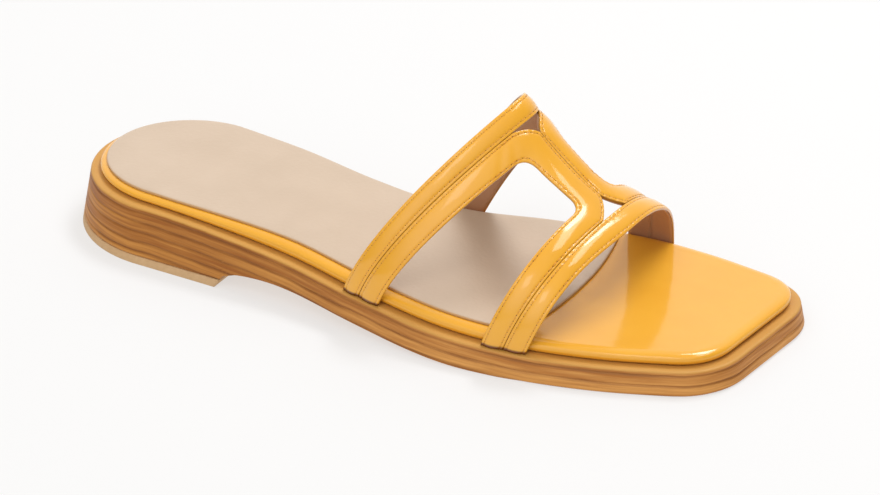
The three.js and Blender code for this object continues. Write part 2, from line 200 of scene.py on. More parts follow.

# %% [markdown]
# ## Stacked sole edge
# The side of the sole looks like thin layers of sole leather, glued in a stack, trimmed and waxed. Each
# layer has its own tan, the glue lines are dark and wander a little, faint cracks run half way between
# them, and fibres make fine streaks along the layer. The mesh brings an attribute that counts layers
# downwards, so colours follow the layers round the shoe. It starts below zero on the ledge, which is one
# lighter layer seen from its face, and the side is tinted deeper towards the heel.

# %% Stacked sole edge
SOLE_TAN = "#DFA257"
SOLE_BROWN = "#AE6E2E"
SOLE_GLUE = "#8E5A28"
LEDGE_TAN = "#D29E52"
LEDGE_BROWN = "#C08C41"
HEEL_TINT = "#E2D6BC"
BALL_TINT = "#FFFFFF"
TINT_FROM = -0.06
TINT_TO = 0.05
LAYER_DEPTH = 3.5
# Half of a layer, in the count of layers.
HALF_LAYER = 0.5
GLUE_HALF_WIDTH = 0.95
CRACK_HALF_WIDTH = 0.4
STREAK_LENGTH = 26.0
STREAKS_PER_LAYER = 3.4
LEDGE_TO_SIDE = (-1.38, -1.23)
TONE_SHARE = 0.3
TONE_RANGE = (0.4, 0.9)
FIBRE_RANGE = (0.34, 0.6)
LINE_STRENGTHS = (0.9, 0.35)
CRACK_STRENGTH = 0.3
FIBRE_HEIGHT = 0.07
SOLE_ROUGHNESS = 0.5
SOLE_SPECULAR = 0.25
WAX_WEIGHT = 0.06
WAX_ROUGHNESS = 0.3


# To the eye: satin bands of tan and brown, streaked along the layers like wood.
def stacked_edge():
    material, tree, shader, coords = new_finish("waxed stacked leather")
    layer = node(tree, "ShaderNodeAttribute", attribute_name="layer").outputs["Fac"]

    # Fibres: a noise drawn long round the shoe and thin across the layers.
    around = (per_metre(STREAK_LENGTH), per_metre(STREAK_LENGTH), 0)
    flat = node(tree, "ShaderNodeVectorMath", {0: coords, 1: around}, operation="MULTIPLY")
    level = node(tree, "ShaderNodeMath", {0: layer, 1: STREAKS_PER_LAYER}, operation="MULTIPLY")
    lifted = node(tree, "ShaderNodeCombineXYZ", {"Z": level})
    along = node(tree, "ShaderNodeVectorMath", {0: flat, 1: lifted}, operation="ADD")
    streaks = node(tree, "ShaderNodeTexNoise", {"Vector": along, "Scale": 1, "Detail": 4})

    # Each layer has a tan of its own under the fibres.
    number = node(tree, "ShaderNodeMath", {0: layer}, operation="FLOOR")
    tone = node(tree, "ShaderNodeTexWhiteNoise", {"W": number}, noise_dimensions="1D")
    toned = node(tree, "ShaderNodeMath", {0: tone, 1: TONE_SHARE, 2: streaks}, operation="MULTIPLY_ADD")
    share = node(tree, "ShaderNodeMapRange", {
        "Value": toned, "From Min": TONE_RANGE[0], "From Max": TONE_RANGE[1],
    })
    leather = node(tree, "ShaderNodeMix", {
        MIX_FACTOR: share, MIX_A: linear(SOLE_BROWN), MIX_B: linear(SOLE_TAN),
    }, data_type="RGBA")

    # Glue lines at whole layers and finer cracks half way between, both broken up by the fibres.
    broken = node(tree, "ShaderNodeMapRange", {
        "Value": streaks, "From Min": FIBRE_RANGE[0], "From Max": FIBRE_RANGE[1],
        "To Min": LINE_STRENGTHS[0], "To Max": LINE_STRENGTHS[1],
    })
    off_line = node(tree, "ShaderNodeMath", {0: layer, 1: HALF_LAYER}, operation="PINGPONG")
    line = node(tree, "ShaderNodeMapRange", {
        "Value": off_line, "From Max": GLUE_HALF_WIDTH / LAYER_DEPTH, "To Min": 1, "To Max": 0,
    }, interpolation_type="SMOOTHSTEP")
    glue = node(tree, "ShaderNodeMath", {0: line, 1: broken}, operation="MULTIPLY")
    half_way = node(tree, "ShaderNodeMath", {0: layer, 1: HALF_LAYER}, operation="ADD")
    off_crack = node(tree, "ShaderNodeMath", {0: half_way, 1: HALF_LAYER}, operation="PINGPONG")
    crack = node(tree, "ShaderNodeMapRange", {
        "Value": off_crack, "From Max": CRACK_HALF_WIDTH / LAYER_DEPTH,
        "To Min": CRACK_STRENGTH, "To Max": 0,
    }, interpolation_type="SMOOTHSTEP")
    cracked = node(tree, "ShaderNodeMath", {0: crack, 1: broken}, operation="MULTIPLY")
    dark = node(tree, "ShaderNodeMath", {0: glue, 1: cracked}, operation="MAXIMUM")
    side = node(tree, "ShaderNodeMix", {
        MIX_FACTOR: dark, MIX_A: leather, MIX_B: linear(SOLE_GLUE),
    }, data_type="RGBA")

    # The side is tinted deeper towards the heel than under the ball of the foot.
    position = node(tree, "ShaderNodeSeparateXYZ", {"Vector": coords})
    forward = node(tree, "ShaderNodeMapRange", {
        "Value": position.outputs["X"], "From Min": TINT_FROM, "From Max": TINT_TO,
    }, interpolation_type="SMOOTHSTEP")
    heel_tint_mix = node(tree, "ShaderNodeMix", {
        MIX_FACTOR: forward, MIX_A: linear(HEEL_TINT), MIX_B: linear(BALL_TINT),
    }, data_type="RGBA")
    tinted = node(tree, "ShaderNodeMix", {
        MIX_FACTOR: 1, MIX_A: side, MIX_B: heel_tint_mix,
    }, data_type="RGBA", blend_type="MULTIPLY")

    # The ledge on top is one lighter layer seen from its face.
    ledge = node(tree, "ShaderNodeMix", {
        MIX_FACTOR: streaks, MIX_A: linear(LEDGE_BROWN), MIX_B: linear(LEDGE_TAN),
    }, data_type="RGBA")
    top = node(tree, "ShaderNodeMapRange", {
        "Value": layer, "From Min": LEDGE_TO_SIDE[0], "From Max": LEDGE_TO_SIDE[1],
        "To Min": 1, "To Max": 0,
    })
    colour = node(tree, "ShaderNodeMix", {
        MIX_FACTOR: top, MIX_A: tinted, MIX_B: ledge,
    }, data_type="RGBA")
    fibres = node(tree, "ShaderNodeBump", {
        "Strength": 1, "Distance": FIBRE_HEIGHT * MM, "Height": streaks,
    })
    wire(tree, shader, {
        "Base Color": colour, "Normal": fibres,
        "Roughness": SOLE_ROUGHNESS, "Specular IOR Level": SOLE_SPECULAR,
        "Coat Weight": WAX_WEIGHT, "Coat Roughness": WAX_ROUGHNESS,
    })
    return material


STACKED = stacked_edge()
print("finish:", STACKED.name)

# %% [markdown]
# ## Sock and lining leather
# The sock under the foot and the inside of the straps are plain tanned leather with a soft satin
# surface. Its pebble is finer than a millimetre, too fine to show here, so a Voronoi bump draws it
# 1.3 mm wide and deeper than it is. Slow clouds keep the colour from being flat, and the cut edge is
# darker than the face.

# %% Sock and lining leather
SOCK_BEIGE = "#D0BBA5"
SOCK_SHADE = "#BFA992"
SOCK_EDGE = "#C49A66"
LINING_TAN = "#BE9270"
LINING_SHADE = "#A87A5A"
LINING_EDGE = "#8A6246"
PEBBLE_SIZE = 1.3
PEBBLE_HEIGHT = 0.07
LEATHER_CLOUD_SIZE = 24.0
SOCK_ROUGHNESS = 0.32
LINING_ROUGHNESS = 0.58


# To the eye: quiet and satin, with a low grain that catches light only at a slant.
def plain_leather(name, light, shade, edge, roughness):
    material, tree, shader, coords = new_finish(name)
    clouds = node(tree, "ShaderNodeTexNoise", {
        "Vector": coords, "Scale": per_metre(LEATHER_CLOUD_SIZE), "Detail": 5,
    })
    face = node(tree, "ShaderNodeMix", {
        MIX_FACTOR: clouds, MIX_A: linear(light), MIX_B: linear(shade),
    }, data_type="RGBA")
    cut = node(tree, "ShaderNodeAttribute", attribute_name="fold")
    colour = node(tree, "ShaderNodeMix", {
        MIX_FACTOR: cut.outputs["Fac"], MIX_A: face, MIX_B: linear(edge),
    }, data_type="RGBA")
    pebble = node(tree, "ShaderNodeTexVoronoi", {
        "Vector": coords, "Scale": per_metre(PEBBLE_SIZE),
    }, feature="SMOOTH_F1")
    grain = node(tree, "ShaderNodeBump", {
        "Strength": 1, "Distance": PEBBLE_HEIGHT * MM, "Height": pebble,
    })
    wire(tree, shader, {"Base Color": colour, "Normal": grain, "Roughness": roughness})
    return material


SOCK = plain_leather("satin sock leather", SOCK_BEIGE, SOCK_SHADE, SOCK_EDGE, SOCK_ROUGHNESS)
LINING = plain_leather("tan lining leather", LINING_TAN, LINING_SHADE, LINING_EDGE, LINING_ROUGHNESS)
print("finishes:", SOCK.name, "and", LINING.name)

# %% [markdown]
# ## Rubber and thread
# The heel lift is a moulded rubber plate, pale and matt with fine dust in it. The thread is twisted
# polyester in the strap's own colour, a touch darker because it has no lacquer, and each needle hole
# is a dark dot of painted shade. These are small, so a colour, a roughness and one fine noise are enough.

# %% Rubber and thread
SPECK_HEIGHT = 0.03


# To the eye: dull and a little mottled, so the lift, the thread and the holes stay behind the gloss.
def speckled(name, light, dark, speck_size, roughness):
    material, tree, shader, coords = new_finish(name)
    specks = node(tree, "ShaderNodeTexNoise", {
        "Vector": coords, "Scale": per_metre(speck_size), "Detail": 3,
    })
    colour = node(tree, "ShaderNodeMix", {
        MIX_FACTOR: specks, MIX_A: linear(light), MIX_B: linear(dark),
    }, data_type="RGBA")
    rough = node(tree, "ShaderNodeBump", {
        "Strength": 1, "Distance": SPECK_HEIGHT * MM, "Height": specks,
    })
    wire(tree, shader, {"Base Color": colour, "Normal": rough, "Roughness": roughness})
    return material


RUBBER = speckled("pale moulded rubber", light="#D2AF84", dark="#BE996C", speck_size=2.2, roughness=0.7)
THREAD = speckled("polyester thread", light="#E3A23A", dark="#C9871F", speck_size=0.5, roughness=0.55)
# Painted shade: a dark dot where the thread goes into each needle hole.
NEEDLE_HOLE_SHADE = speckled("painted needle-hole shade", light="#8F5A1C", dark="#7A4812", speck_size=0.5, roughness=0.8)
print("finishes:", RUBBER.name, THREAD.name, NEEDLE_HOLE_SHADE.name, sep=", ")

# %% [markdown]
# ## Plan of the footbed
# Everything follows the footbed's outline seen from above. A few half widths either side of the heel's
# centre line are joined by a smooth curve, the heel is a quarter ellipse on each side, and the squared
# toe has two rounded corners. Keeping the outline as a rule lets every layer of the sole be an offset
# of it, exactly as a sole cutter works.

# %% Plan of the footbed
FOOTBED_LENGTH = 252.0
PLAN_STATIONS = np.array([30.0, 62, 95, 128, 160, 190, 215, 240])
HALF_WIDTHS = {
    "lateral": np.array([31.6, 32.8, 34.8, 40.4, 43.5, 40.4, 34.2, 24.4]),
    "medial": np.array([30.4, 27.6, 23.1, 24.7, 37.5, 44.5, 44.3, 40.9]),
}
SIGN = {"lateral": -1, "medial": 1}
TOE_CORNER = {"lateral": 13.0, "medial": 16.5}
HEEL_ROUND_LENGTH = 34.6
TOE_SKEW = 0.09
TOE_SKEW_PIVOT = 20.0
TOE_CORNER_PASSES = 8
HEEL_POINTS = 90
FLANK_POINTS = 300
CORNER_STEPS = 49


def through(stations, values, x):
    """A smooth curve through a table, straight beyond its last row."""
    slopes = np.empty(len(stations))
    slopes[1:-1] = (values[2:] - values[:-2]) / (stations[2:] - stations[:-2])
    slopes[0] = (values[1] - values[0]) / (stations[1] - stations[0])
    slopes[-1] = (values[-1] - values[-2]) / (stations[-1] - stations[-2])
    x = np.asarray(x, float)
    i = np.clip(np.searchsorted(stations, x, side="right") - 1, 0, len(stations) - 2)
    span = stations[i + 1] - stations[i]
    u = (x - stations[i]) / span
    start = slopes[i] * span
    end = slopes[i + 1] * span
    rise = values[i + 1] - values[i]
    inside = values[i] + u * (start + u * (3 * rise - 2 * start - end + u * (start + end - 2 * rise)))
    return np.where(x >= stations[-1], values[-1] + slopes[-1] * (x - stations[-1]), inside)


def half_width(side, x):
    return through(PLAN_STATIONS, HALF_WIDTHS[side], x)


def toe_corner(side):
    """Where a side would meet the slanted toe line if its corner weren't rounded."""
    x = FOOTBED_LENGTH
    for _ in range(TOE_CORNER_PASSES):
        y = SIGN[side] * float(half_width(side, x))
        x = FOOTBED_LENGTH + TOE_SKEW * (y - TOE_SKEW_PIVOT)
    return np.array([x, y])


def bend(start, pull, end, steps):
    """A curve that leaves one point towards another and turns to a third."""
    u = np.linspace(0, 1, steps + 1)[:, None]
    return (1 - u) ** 2 * start + 2 * u * (1 - u) * pull + u ** 2 * end


def side_line(side):
    """One side of the plan, from the middle of the heel to the toe line, as a fine polyline."""
    other = "medial" if side == "lateral" else "lateral"
    turn = np.linspace(0, math.pi / 2, HEEL_POINTS, endpoint=False)
    heel_width = SIGN[side] * half_width(side, HEEL_ROUND_LENGTH)
    heel = np.column_stack([HEEL_ROUND_LENGTH * (1 - np.cos(turn)), heel_width * np.sin(turn)])
    corner = toe_corner(side)
    stations = np.linspace(HEEL_ROUND_LENGTH, corner[0] - TOE_CORNER[side], FLANK_POINTS)
    flank = np.column_stack([stations, SIGN[side] * half_width(side, stations)])
    along_toe = toe_corner(other) - corner
    end = corner + along_toe / np.linalg.norm(along_toe) * TOE_CORNER[side]
    return np.vstack([heel, flank, bend(flank[-1], corner, end, CORNER_STEPS)[1:]])


def resample(points, count):
    """The same polyline with count + 1 points, evenly spaced along it."""
    steps = np.linalg.norm(np.diff(points, axis=0), axis=1)
    travelled = np.concatenate([[0], np.cumsum(steps)])
    wanted = np.linspace(0, travelled[-1], count + 1)
    return np.column_stack([np.interp(wanted, travelled, column) for column in points.T])


for side in SIGN:
    print(side, "toe corner at", toe_corner(side).round(1), "mm")

# %% [markdown]
# ## Slabs: one way to make every sole piece
# Sole, footbed, sock and lift are all slabs: a closed loop in plan, stacked in rings from the lowest to
# the highest, and closed above and below by strips that run straight across the shoe. The loop runs up
# the lateral side, over the front and back down the medial side, so a strip always joins two points
# that face each other. Strips keep the top smooth, because the surface only bends along the shoe.

# %% Slab tools
SIDE_STEPS = 190
FRONT_STEPS = 30


def loop_of(lateral, front, medial):
    """A closed loop, counterclockwise from above, with its outward normals."""
    loop = np.vstack([lateral, front[1:-1], medial[:0:-1]])
    along = np.roll(loop, -1, axis=0) - np.roll(loop, 1, axis=0)
    normals = np.column_stack([along[:, 1], -along[:, 0]])
    return loop, normals / np.linalg.norm(normals, axis=1)[:, None]


def ring_faces(rings, count):
    """Faces between each ring of points and the next."""
    faces = []
    for low in range(0, (rings - 1) * count, count):
        for i in range(count):
            j = (i + 1) % count
            faces.append((low + i, low + j, low + count + j, low + count + i))
    return faces


def slab(rings, under, over, side_steps=SIDE_STEPS, front_steps=FRONT_STEPS):
    """Points and faces of a slab, and how many of the points are on its rings."""
    count = len(rings[0])
    points = [np.vstack(rings)]
    faces = ring_faces(len(rings), count)
    total = len(points[0])
    for first, height_at, is_top in ((0, under, False), ((len(rings) - 1) * count, over, True)):
        ring = points[0][first:first + count]
        shares = np.linspace(0, 1, front_steps + 1)[1:-1]
        rows = []
        for i in range(1, side_steps):
            across = ring[i, :2] + (ring[count - i, :2] - ring[i, :2]) * shares[:, None]
            rows.append(np.column_stack([across, height_at(across[:, 0])]))
        points.append(np.vstack(rows))

        def at(i, c, first=first, total=total):
            if i == 0:
                return first
            if i == side_steps:
                return first + side_steps + c
            if c == 0:
                return first + i
            if c == front_steps:
                return first + count - i
            return total + (i - 1) * (front_steps - 1) + c - 1

        for i in range(side_steps):
            for c in range(front_steps):
                face = [at(i, c), at(i + 1, c), at(i + 1, c + 1), at(i, c + 1)]
                if i == 0:
                    face = face[:3]
                faces.append(face if is_top else face[::-1])
        total += len(points[-1])
    return np.vstack(points), faces, len(rings) * count


PLAN, PLAN_NORMALS = loop_of(
    resample(side_line("lateral"), SIDE_STEPS),
    np.linspace(side_line("lateral")[-1], side_line("medial")[-1], FRONT_STEPS + 1),
    resample(side_line("medial"), SIDE_STEPS),
)
print(len(PLAN), "points round the plan")

# %% [markdown]
# ## From stations to the frame
# The frame's origin is under the middle of the sandal. The plan is laid on the footbed solid by matching
# the middles of their boxes, and one function makes every mesh, so that the shift and the change to
# metres happen in one place and every object keeps its own origin at zero.

# %% Mesh tool
RIM_BULGE = 0.6
low_corner, high_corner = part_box("footbed")
rim_loop = PLAN + PLAN_NORMALS * RIM_BULGE
footbed_middle = np.array((low_corner + high_corner)[:2]) / 2 / MM
SHIFT = np.append(footbed_middle - (rim_loop.min(axis=0) + rim_loop.max(axis=0)) / 2, 0)


def piece(name, points, faces, material, edges=(), **attributes):
    """An object with its place in its mesh, smooth, with named numbers or vectors on its points."""
    mesh = bpy.data.meshes.new(name)
    mesh.from_pydata(((points + SHIFT) * MM).tolist(), list(edges), faces)
    mesh.update()
    mesh.shade_smooth()
    for label, values in attributes.items():
        values = np.asarray(values, np.float32)
        kind, field = ("FLOAT", "value") if values.ndim == 1 else ("FLOAT_VECTOR", "vector")
        mesh.attributes.new(label, kind, "POINT").data.foreach_set(field, values.ravel())
    mesh.materials.append(material)
    made = bpy.data.objects.new(name, mesh)
    bpy.context.collection.objects.link(made)
    return made


print("stations start", (-SHIFT[:2]).round(2), "mm from the frame's origin")

# %% [markdown]
# ## Stacked outsole
# The sole is thickest under the heel, hollow at the arch and flat under the ball, and its side flares to
# the floor. Layers could be separate slabs, but they are trimmed together on the real shoe, so this is
# one slab. Its glue lines repeat down the side, which is work for Geometry Nodes: a small tree counts
# layers from a depth stored on each point, lets the count wander a little with a noise, and presses a
# groove at every whole number. The same count is stored for the finish to colour.

# %% Outsole sizes
HEEL_HEIGHT = 20.6
FOREFOOT_THICKNESS = 8.7
RAMP_START = 22.0
RAMP_END = 200.0
LEDGE_WIDTH = 4.0
SIDE_FLARE = 0.184
TOP_BAND_DEPTH = 5.1
LIFT_THICKNESS = 3.0
LIFT_FRONT = 68.0
ARCH_STATIONS = np.array([69.0, 76, 92, 120, 145, 164, 182])
ARCH_HEIGHTS = np.array([4.6, 6.5, 7.0, 4.6, 2.0, 0.5, 0.0])
TOE_SPRING_START = 234.0
TOE_SPRING_LENGTH = 30.0
TOE_SPRING_HEIGHT = 0.9
EDGE_ROUND = 0.7


def eased(x, start, end):
    """0 up to the start, 1 from the end on, and a smooth S between them."""
    share = np.clip((x - start) / (end - start), 0, 1)
    return share * share * (3 - 2 * share)


def outsole_top(x):
    return HEEL_HEIGHT + (FOREFOOT_THICKNESS - HEEL_HEIGHT) * eased(x, RAMP_START, RAMP_END)


def underside(x):
    arch = through(ARCH_STATIONS, ARCH_HEIGHTS, np.maximum(x, ARCH_STATIONS[0]))
    spring = TOE_SPRING_HEIGHT * (np.maximum(x - TOE_SPRING_START, 0) / TOE_SPRING_LENGTH) ** 2
    return np.where(x < LIFT_FRONT, LIFT_THICKNESS, np.where(x < ARCH_STATIONS[-1], arch, spring))


def rounding(depth, radius):
    """How far a rounded edge draws in at this depth below it."""
    left = np.maximum(radius - depth, 0)
    return radius - np.sqrt(radius ** 2 - left ** 2)


print("sole thickness at heel", float(outsole_top(30) - underside(30)), "mm")

# %% Outsole slab
TOP_ROWS = np.array([0, 0.1, 0.25, 0.45, 0.7])
FOOT_ROWS = np.array([0.7, 0.45, 0.25, 0.1, 0])
MIDDLE_ROWS = 54


def outsole_rings():
    """Rings from the foot of the side up to the ledge, and the depth of each below the ledge."""
    foot_x = PLAN[:, 0] + PLAN_NORMALS[:, 0] * (LEDGE_WIDTH + SIDE_FLARE * FOREFOOT_THICKNESS)
    thickness = outsole_top(foot_x) - underside(foot_x)
    middle = np.linspace(0, 1, MIDDLE_ROWS + 2)[1:-1, None]
    between = TOP_ROWS[-1] + middle * (thickness - FOOT_ROWS[0] - TOP_ROWS[-1])
    depths = np.vstack([
        np.repeat(TOP_ROWS[:, None], len(PLAN), axis=1),
        between,
        thickness - FOOT_ROWS[:, None],
    ])[::-1]
    offsets = LEDGE_WIDTH + SIDE_FLARE * depths
    offsets -= rounding(depths, EDGE_ROUND) + rounding(thickness - depths, EDGE_ROUND)
    rings = []
    for depth, offset in zip(depths, offsets):
        level = PLAN + PLAN_NORMALS * offset[:, None]
        rings.append(np.column_stack([level, outsole_top(level[:, 0]) - depth]))
    return rings, depths


sole_rings, sole_depths = outsole_rings()
sole_points, sole_faces, sole_side = slab(sole_rings, underside, outsole_top)
sole_depth = np.zeros(len(sole_points))
sole_depth[:sole_side] = sole_depths.ravel()
sole_inward = np.zeros((len(sole_points), 3))
sole_inward[:sole_side, :2] = np.tile(-PLAN_NORMALS, (len(sole_rings), 1))
sole_base = piece(
    "outsole_stack", sole_points, sole_faces, STACKED, depth=sole_depth * MM, inward=sole_inward
)
print("outsole slab:", len(sole_faces), "faces")

# %% Layer tree
GROOVE_DEPTH = 0.3
GROOVE_HALF_WIDTH = 0.45
# The layer count from which there are grooves, just under the ledge.
GROOVES_FROM = -1.2
LAYER_WANDER = 0.9
WANDER_LENGTH = 14.0
NOISE_MIDDLE = 0.5


def new_tree(name, inputs):
    """An empty Geometry Nodes tree with a geometry socket at each end and the named inputs."""
    tree = bpy.data.node_groups.new(name, "GeometryNodeTree")
    tree.interface.new_socket("Geometry", in_out="INPUT", socket_type="NodeSocketGeometry")
    tree.interface.new_socket("Geometry", in_out="OUTPUT", socket_type="NodeSocketGeometry")
    for label, kind in inputs.items():
        tree.interface.new_socket(label, in_out="INPUT", socket_type=kind)
    return tree, node(tree, "NodeGroupInput").outputs


def close_tree(tree, geometry, material):
    """Ends a tree with plain geometry in its material."""
    whole = node(tree, "GeometryNodeRealizeInstances", {"Geometry": geometry})
    dressed = node(tree, "GeometryNodeSetMaterial", {"Geometry": whole, "Material": material})
    node(tree, "NodeGroupOutput", {"Geometry": dressed})
    return tree


def layer_tree():
    tree, given = new_tree("sole layers", {
        "Top Band": "NodeSocketFloat",
        "Layer Depth": "NodeSocketFloat",
        "Groove Depth": "NodeSocketFloat",
        "Groove Half Width": "NodeSocketFloat",
        "Wander": "NodeSocketFloat",
        "Wander Scale": "NodeSocketFloat",
        "Material": "NodeSocketMaterial",
    })
    depth = node(tree, "GeometryNodeInputNamedAttribute", {"Name": "depth"}, data_type="FLOAT")
    inward = node(tree, "GeometryNodeInputNamedAttribute", {"Name": "inward"}, data_type="FLOAT_VECTOR")
    noise = node(tree, "ShaderNodeTexNoise", {"Scale": given["Wander Scale"], "Detail": 2})
    centred = node(tree, "ShaderNodeMath", {0: noise, 1: NOISE_MIDDLE}, operation="SUBTRACT")
    wandered = node(tree, "ShaderNodeMath", {
        0: centred, 1: given["Wander"], 2: depth,
    }, operation="MULTIPLY_ADD")
    sunk = node(tree, "ShaderNodeMath", {0: wandered, 1: given["Top Band"]}, operation="SUBTRACT")
    layer = node(tree, "ShaderNodeMath", {0: sunk, 1: given["Layer Depth"]}, operation="DIVIDE")
    off_line = node(tree, "ShaderNodeMath", {0: layer, 1: HALF_LAYER}, operation="PINGPONG")
    distance = node(tree, "ShaderNodeMath", {0: off_line, 1: given["Layer Depth"]}, operation="MULTIPLY")
    groove = node(tree, "ShaderNodeMapRange", {
        "Value": distance, "From Max": given["Groove Half Width"],
        "To Min": given["Groove Depth"], "To Max": 0,
    }, interpolation_type="SMOOTHSTEP")
    below = node(tree, "ShaderNodeMath", {0: layer, 1: GROOVES_FROM}, operation="GREATER_THAN")
    cut = node(tree, "ShaderNodeMath", {0: groove, 1: below}, operation="MULTIPLY")
    move = node(tree, "ShaderNodeVectorMath", {0: inward, "Scale": cut}, operation="SCALE")
    counted = node(tree, "GeometryNodeStoreNamedAttribute", {
        "Geometry": given["Geometry"], "Name": "layer", "Value": layer,
    })
    pressed = node(tree, "GeometryNodeSetPosition", {"Geometry": counted, "Offset": move})
    return close_tree(tree, pressed, given["Material"])


LAYERS = layer_tree()
print("layer tree:", len(LAYERS.nodes), "nodes")

# %% Grow the layers
def grown(base, tree, sizes):
    """The piece that a tree makes from a base object, as a plain mesh with the base's name."""
    name = base.name
    modifier = base.modifiers.new(tree.name, "NODES")
    modifier.node_group = tree
    for item in tree.interface.items_tree:
        if item.in_out == "INPUT" and item.name in sizes:
            modifier[item.identifier] = sizes[item.name]
    depsgraph = bpy.context.evaluated_depsgraph_get()
    mesh = bpy.data.meshes.new_from_object(
        base.evaluated_get(depsgraph), preserve_all_data_layers=True, depsgraph=depsgraph
    )
    base.modifiers.remove(modifier)
    bpy.data.objects.remove(base)
    mesh.name = name
    made = bpy.data.objects.new(name, mesh)
    bpy.context.collection.objects.link(made)
    return made


outsole = grown(sole_base, LAYERS, {
    "Top Band": TOP_BAND_DEPTH * MM, "Layer Depth": LAYER_DEPTH * MM, "Groove Depth": GROOVE_DEPTH * MM,
    "Groove Half Width": GROOVE_HALF_WIDTH * MM, "Wander": LAYER_WANDER * MM,
    "Wander Scale": per_metre(WANDER_LENGTH), "Material": STACKED,
})
outsole.data.shade_smooth()
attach(outsole, "root")
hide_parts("outsole")
print("outsole:", len(outsole.data.polygons), "faces")

# %% [markdown]
# ## Heel lift
# The lift is the replaceable plate that the heel wears on. It continues the flare of the sole to the
# floor and is cut straight across in front, on a slight slant. It is the same kind of slab, from a loop
# that is clipped where the front cut crosses it at each height.

# %% Heel lift
LIFT_SIDE_STEPS = 80
LIFT_FRONT_STEPS = 24
LIFT_FRONT_FLOOR = 66.0
LIFT_ROWS = [
    {"height": 0.0, "inset": 0.35},
    {"height": 0.1, "inset": 0.12},
    {"height": 0.35, "inset": 0.0},
    {"height": 1.5, "inset": 0.0},
    {"height": 2.65, "inset": 0.0},
    {"height": 2.88, "inset": 0.1},
    {"height": 2.97, "inset": 0.3},
]


def clipped(line, front_at):
    """The start of a polyline, up to where it passes the front, which is given as a function of y."""
    ahead = line[:, 0] - front_at(line[:, 1])
    last = int(np.argmax(ahead > 0))
    share = -ahead[last - 1] / (ahead[last] - ahead[last - 1])
    crossing = line[last - 1] + (line[last] - line[last - 1]) * share
    return np.vstack([line[:last], crossing])


def offset_line(side, offset_at):
    """One side of the plan, moved outwards by an offset that may change along the shoe."""
    line = side_line(side)
    along = np.gradient(line, axis=0)
    normals = np.column_stack([along[:, 1], -along[:, 0]]) * -SIGN[side]
    normals /= np.linalg.norm(normals, axis=1)[:, None]
    normals[0] = (-1, 0)
    return line + normals * offset_at(line[:, 0])[:, None]


def lift_ring(row):
    height = row["height"]
    front = LIFT_FRONT_FLOOR + (LIFT_FRONT - LIFT_FRONT_FLOOR) * height / LIFT_THICKNESS - row["inset"]

    def flare(x):
        return LEDGE_WIDTH + SIDE_FLARE * (outsole_top(x) - height) - row["inset"]

    ends = {}
    for side in SIGN:
        start = clipped(offset_line(side, flare), lambda y: np.full_like(y, front))
        ends[side] = resample(start, LIFT_SIDE_STEPS)
    across = np.linspace(ends["lateral"][-1], ends["medial"][-1], LIFT_FRONT_STEPS + 1)
    loop, _ = loop_of(ends["lateral"], across, ends["medial"])
    return np.column_stack([loop, np.full(len(loop), height)])


lift_rings = [lift_ring(row) for row in LIFT_ROWS]
lift_points, lift_faces, _ = slab(
    lift_rings,
    lambda x: np.full_like(x, LIFT_ROWS[0]["height"]),
    lambda x: np.full_like(x, LIFT_ROWS[-1]["height"]),
    LIFT_SIDE_STEPS,
    LIFT_FRONT_STEPS,
)
lift = piece("heel_lift", lift_points, lift_faces, RUBBER)
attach(lift, "root")
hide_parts("top_lift")
print("heel lift:", len(lift_faces), "faces")

# %% [markdown]
# ## Wrapped footbed
# The footbed is a board wrapped in the same patent leather as the straps, so its rim is a soft roll that
# tucks under at the bottom. The rim is a short table of heights and offsets, made into a smooth curve
# and swept round the plan as rings, lower round the heel, where the board is thinner. The tuck at the
# bottom gets painted shade, darker towards the bottom of the rim.

# %% Wrapped footbed
RIM_HEIGHTS = np.array([0.02, 0.5, 1.2, 2.2, 3.3, 4.0, 4.28, 4.3])
RIM_OFFSETS = np.array([-1.1, -0.35, 0.25, 0.6, 0.25, -0.9, -2.4, -4.0])
RIM_STEPS = 36
FOOTBED_HEIGHT = RIM_HEIGHTS[-1]
HEEL_DROP = 1.2
HEEL_DROP_START = 40.0
HEEL_DROP_END = 95.0
# Painted shade in the tuck under the rim: strongest at the bottom, gone above the shade height.
TUCK_SHADE_HEIGHT = 0.9
TUCK_SHADE_FADE = 0.8
TUCK_SHADE_STRENGTH = 0.42


def bed_height(x):
    """Height of the footbed's face over the ledge; the board is thinner under the heel."""
    return FOOTBED_HEIGHT - HEEL_DROP * (1 - eased(x, HEEL_DROP_START, HEEL_DROP_END))


def bed_top(x):
    return outsole_top(x) + bed_height(x)


rim_share = np.linspace(0, len(RIM_HEIGHTS) - 1, RIM_STEPS + 1)
rim_numbers = np.arange(len(RIM_HEIGHTS), dtype=float)
rim_heights = through(rim_numbers, RIM_HEIGHTS, rim_share)
rim_offsets = through(rim_numbers, RIM_OFFSETS, rim_share)
rim_rings = []
for height, offset in zip(rim_heights, rim_offsets):
    level = PLAN + PLAN_NORMALS * offset
    risen = height * bed_height(level[:, 0]) / FOOTBED_HEIGHT
    rim_rings.append(np.column_stack([level, outsole_top(level[:, 0]) + risen]))
bed_points, bed_faces, bed_side = slab(
    rim_rings,
    lambda x: outsole_top(x) + RIM_HEIGHTS[0],
    bed_top,
)
# Painted shade, darker towards the bottom of the rim.
tuck_shade = TUCK_SHADE_STRENGTH * np.clip((TUCK_SHADE_HEIGHT - rim_heights) / TUCK_SHADE_FADE, 0, 1)
bed_fold = np.zeros(len(bed_points))
bed_fold[:bed_side] = np.repeat(tuck_shade, len(PLAN))
footbed = piece("footbed_wrap", bed_points, bed_faces, PATENT, fold=bed_fold)
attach(footbed, "root")
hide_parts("footbed")
print("footbed:", len(bed_faces), "faces")

# %% [markdown]
# ## Sock
# The sock is a thin leather cover glued on the footbed, from the heel to under the front strap, where it
# ends in a bowed edge. It leaves a strip of the footbed free, narrower round the heel. Its face rolls over
# a little at the edge and its raw cut side is dark, which is the fine line that shows round it.

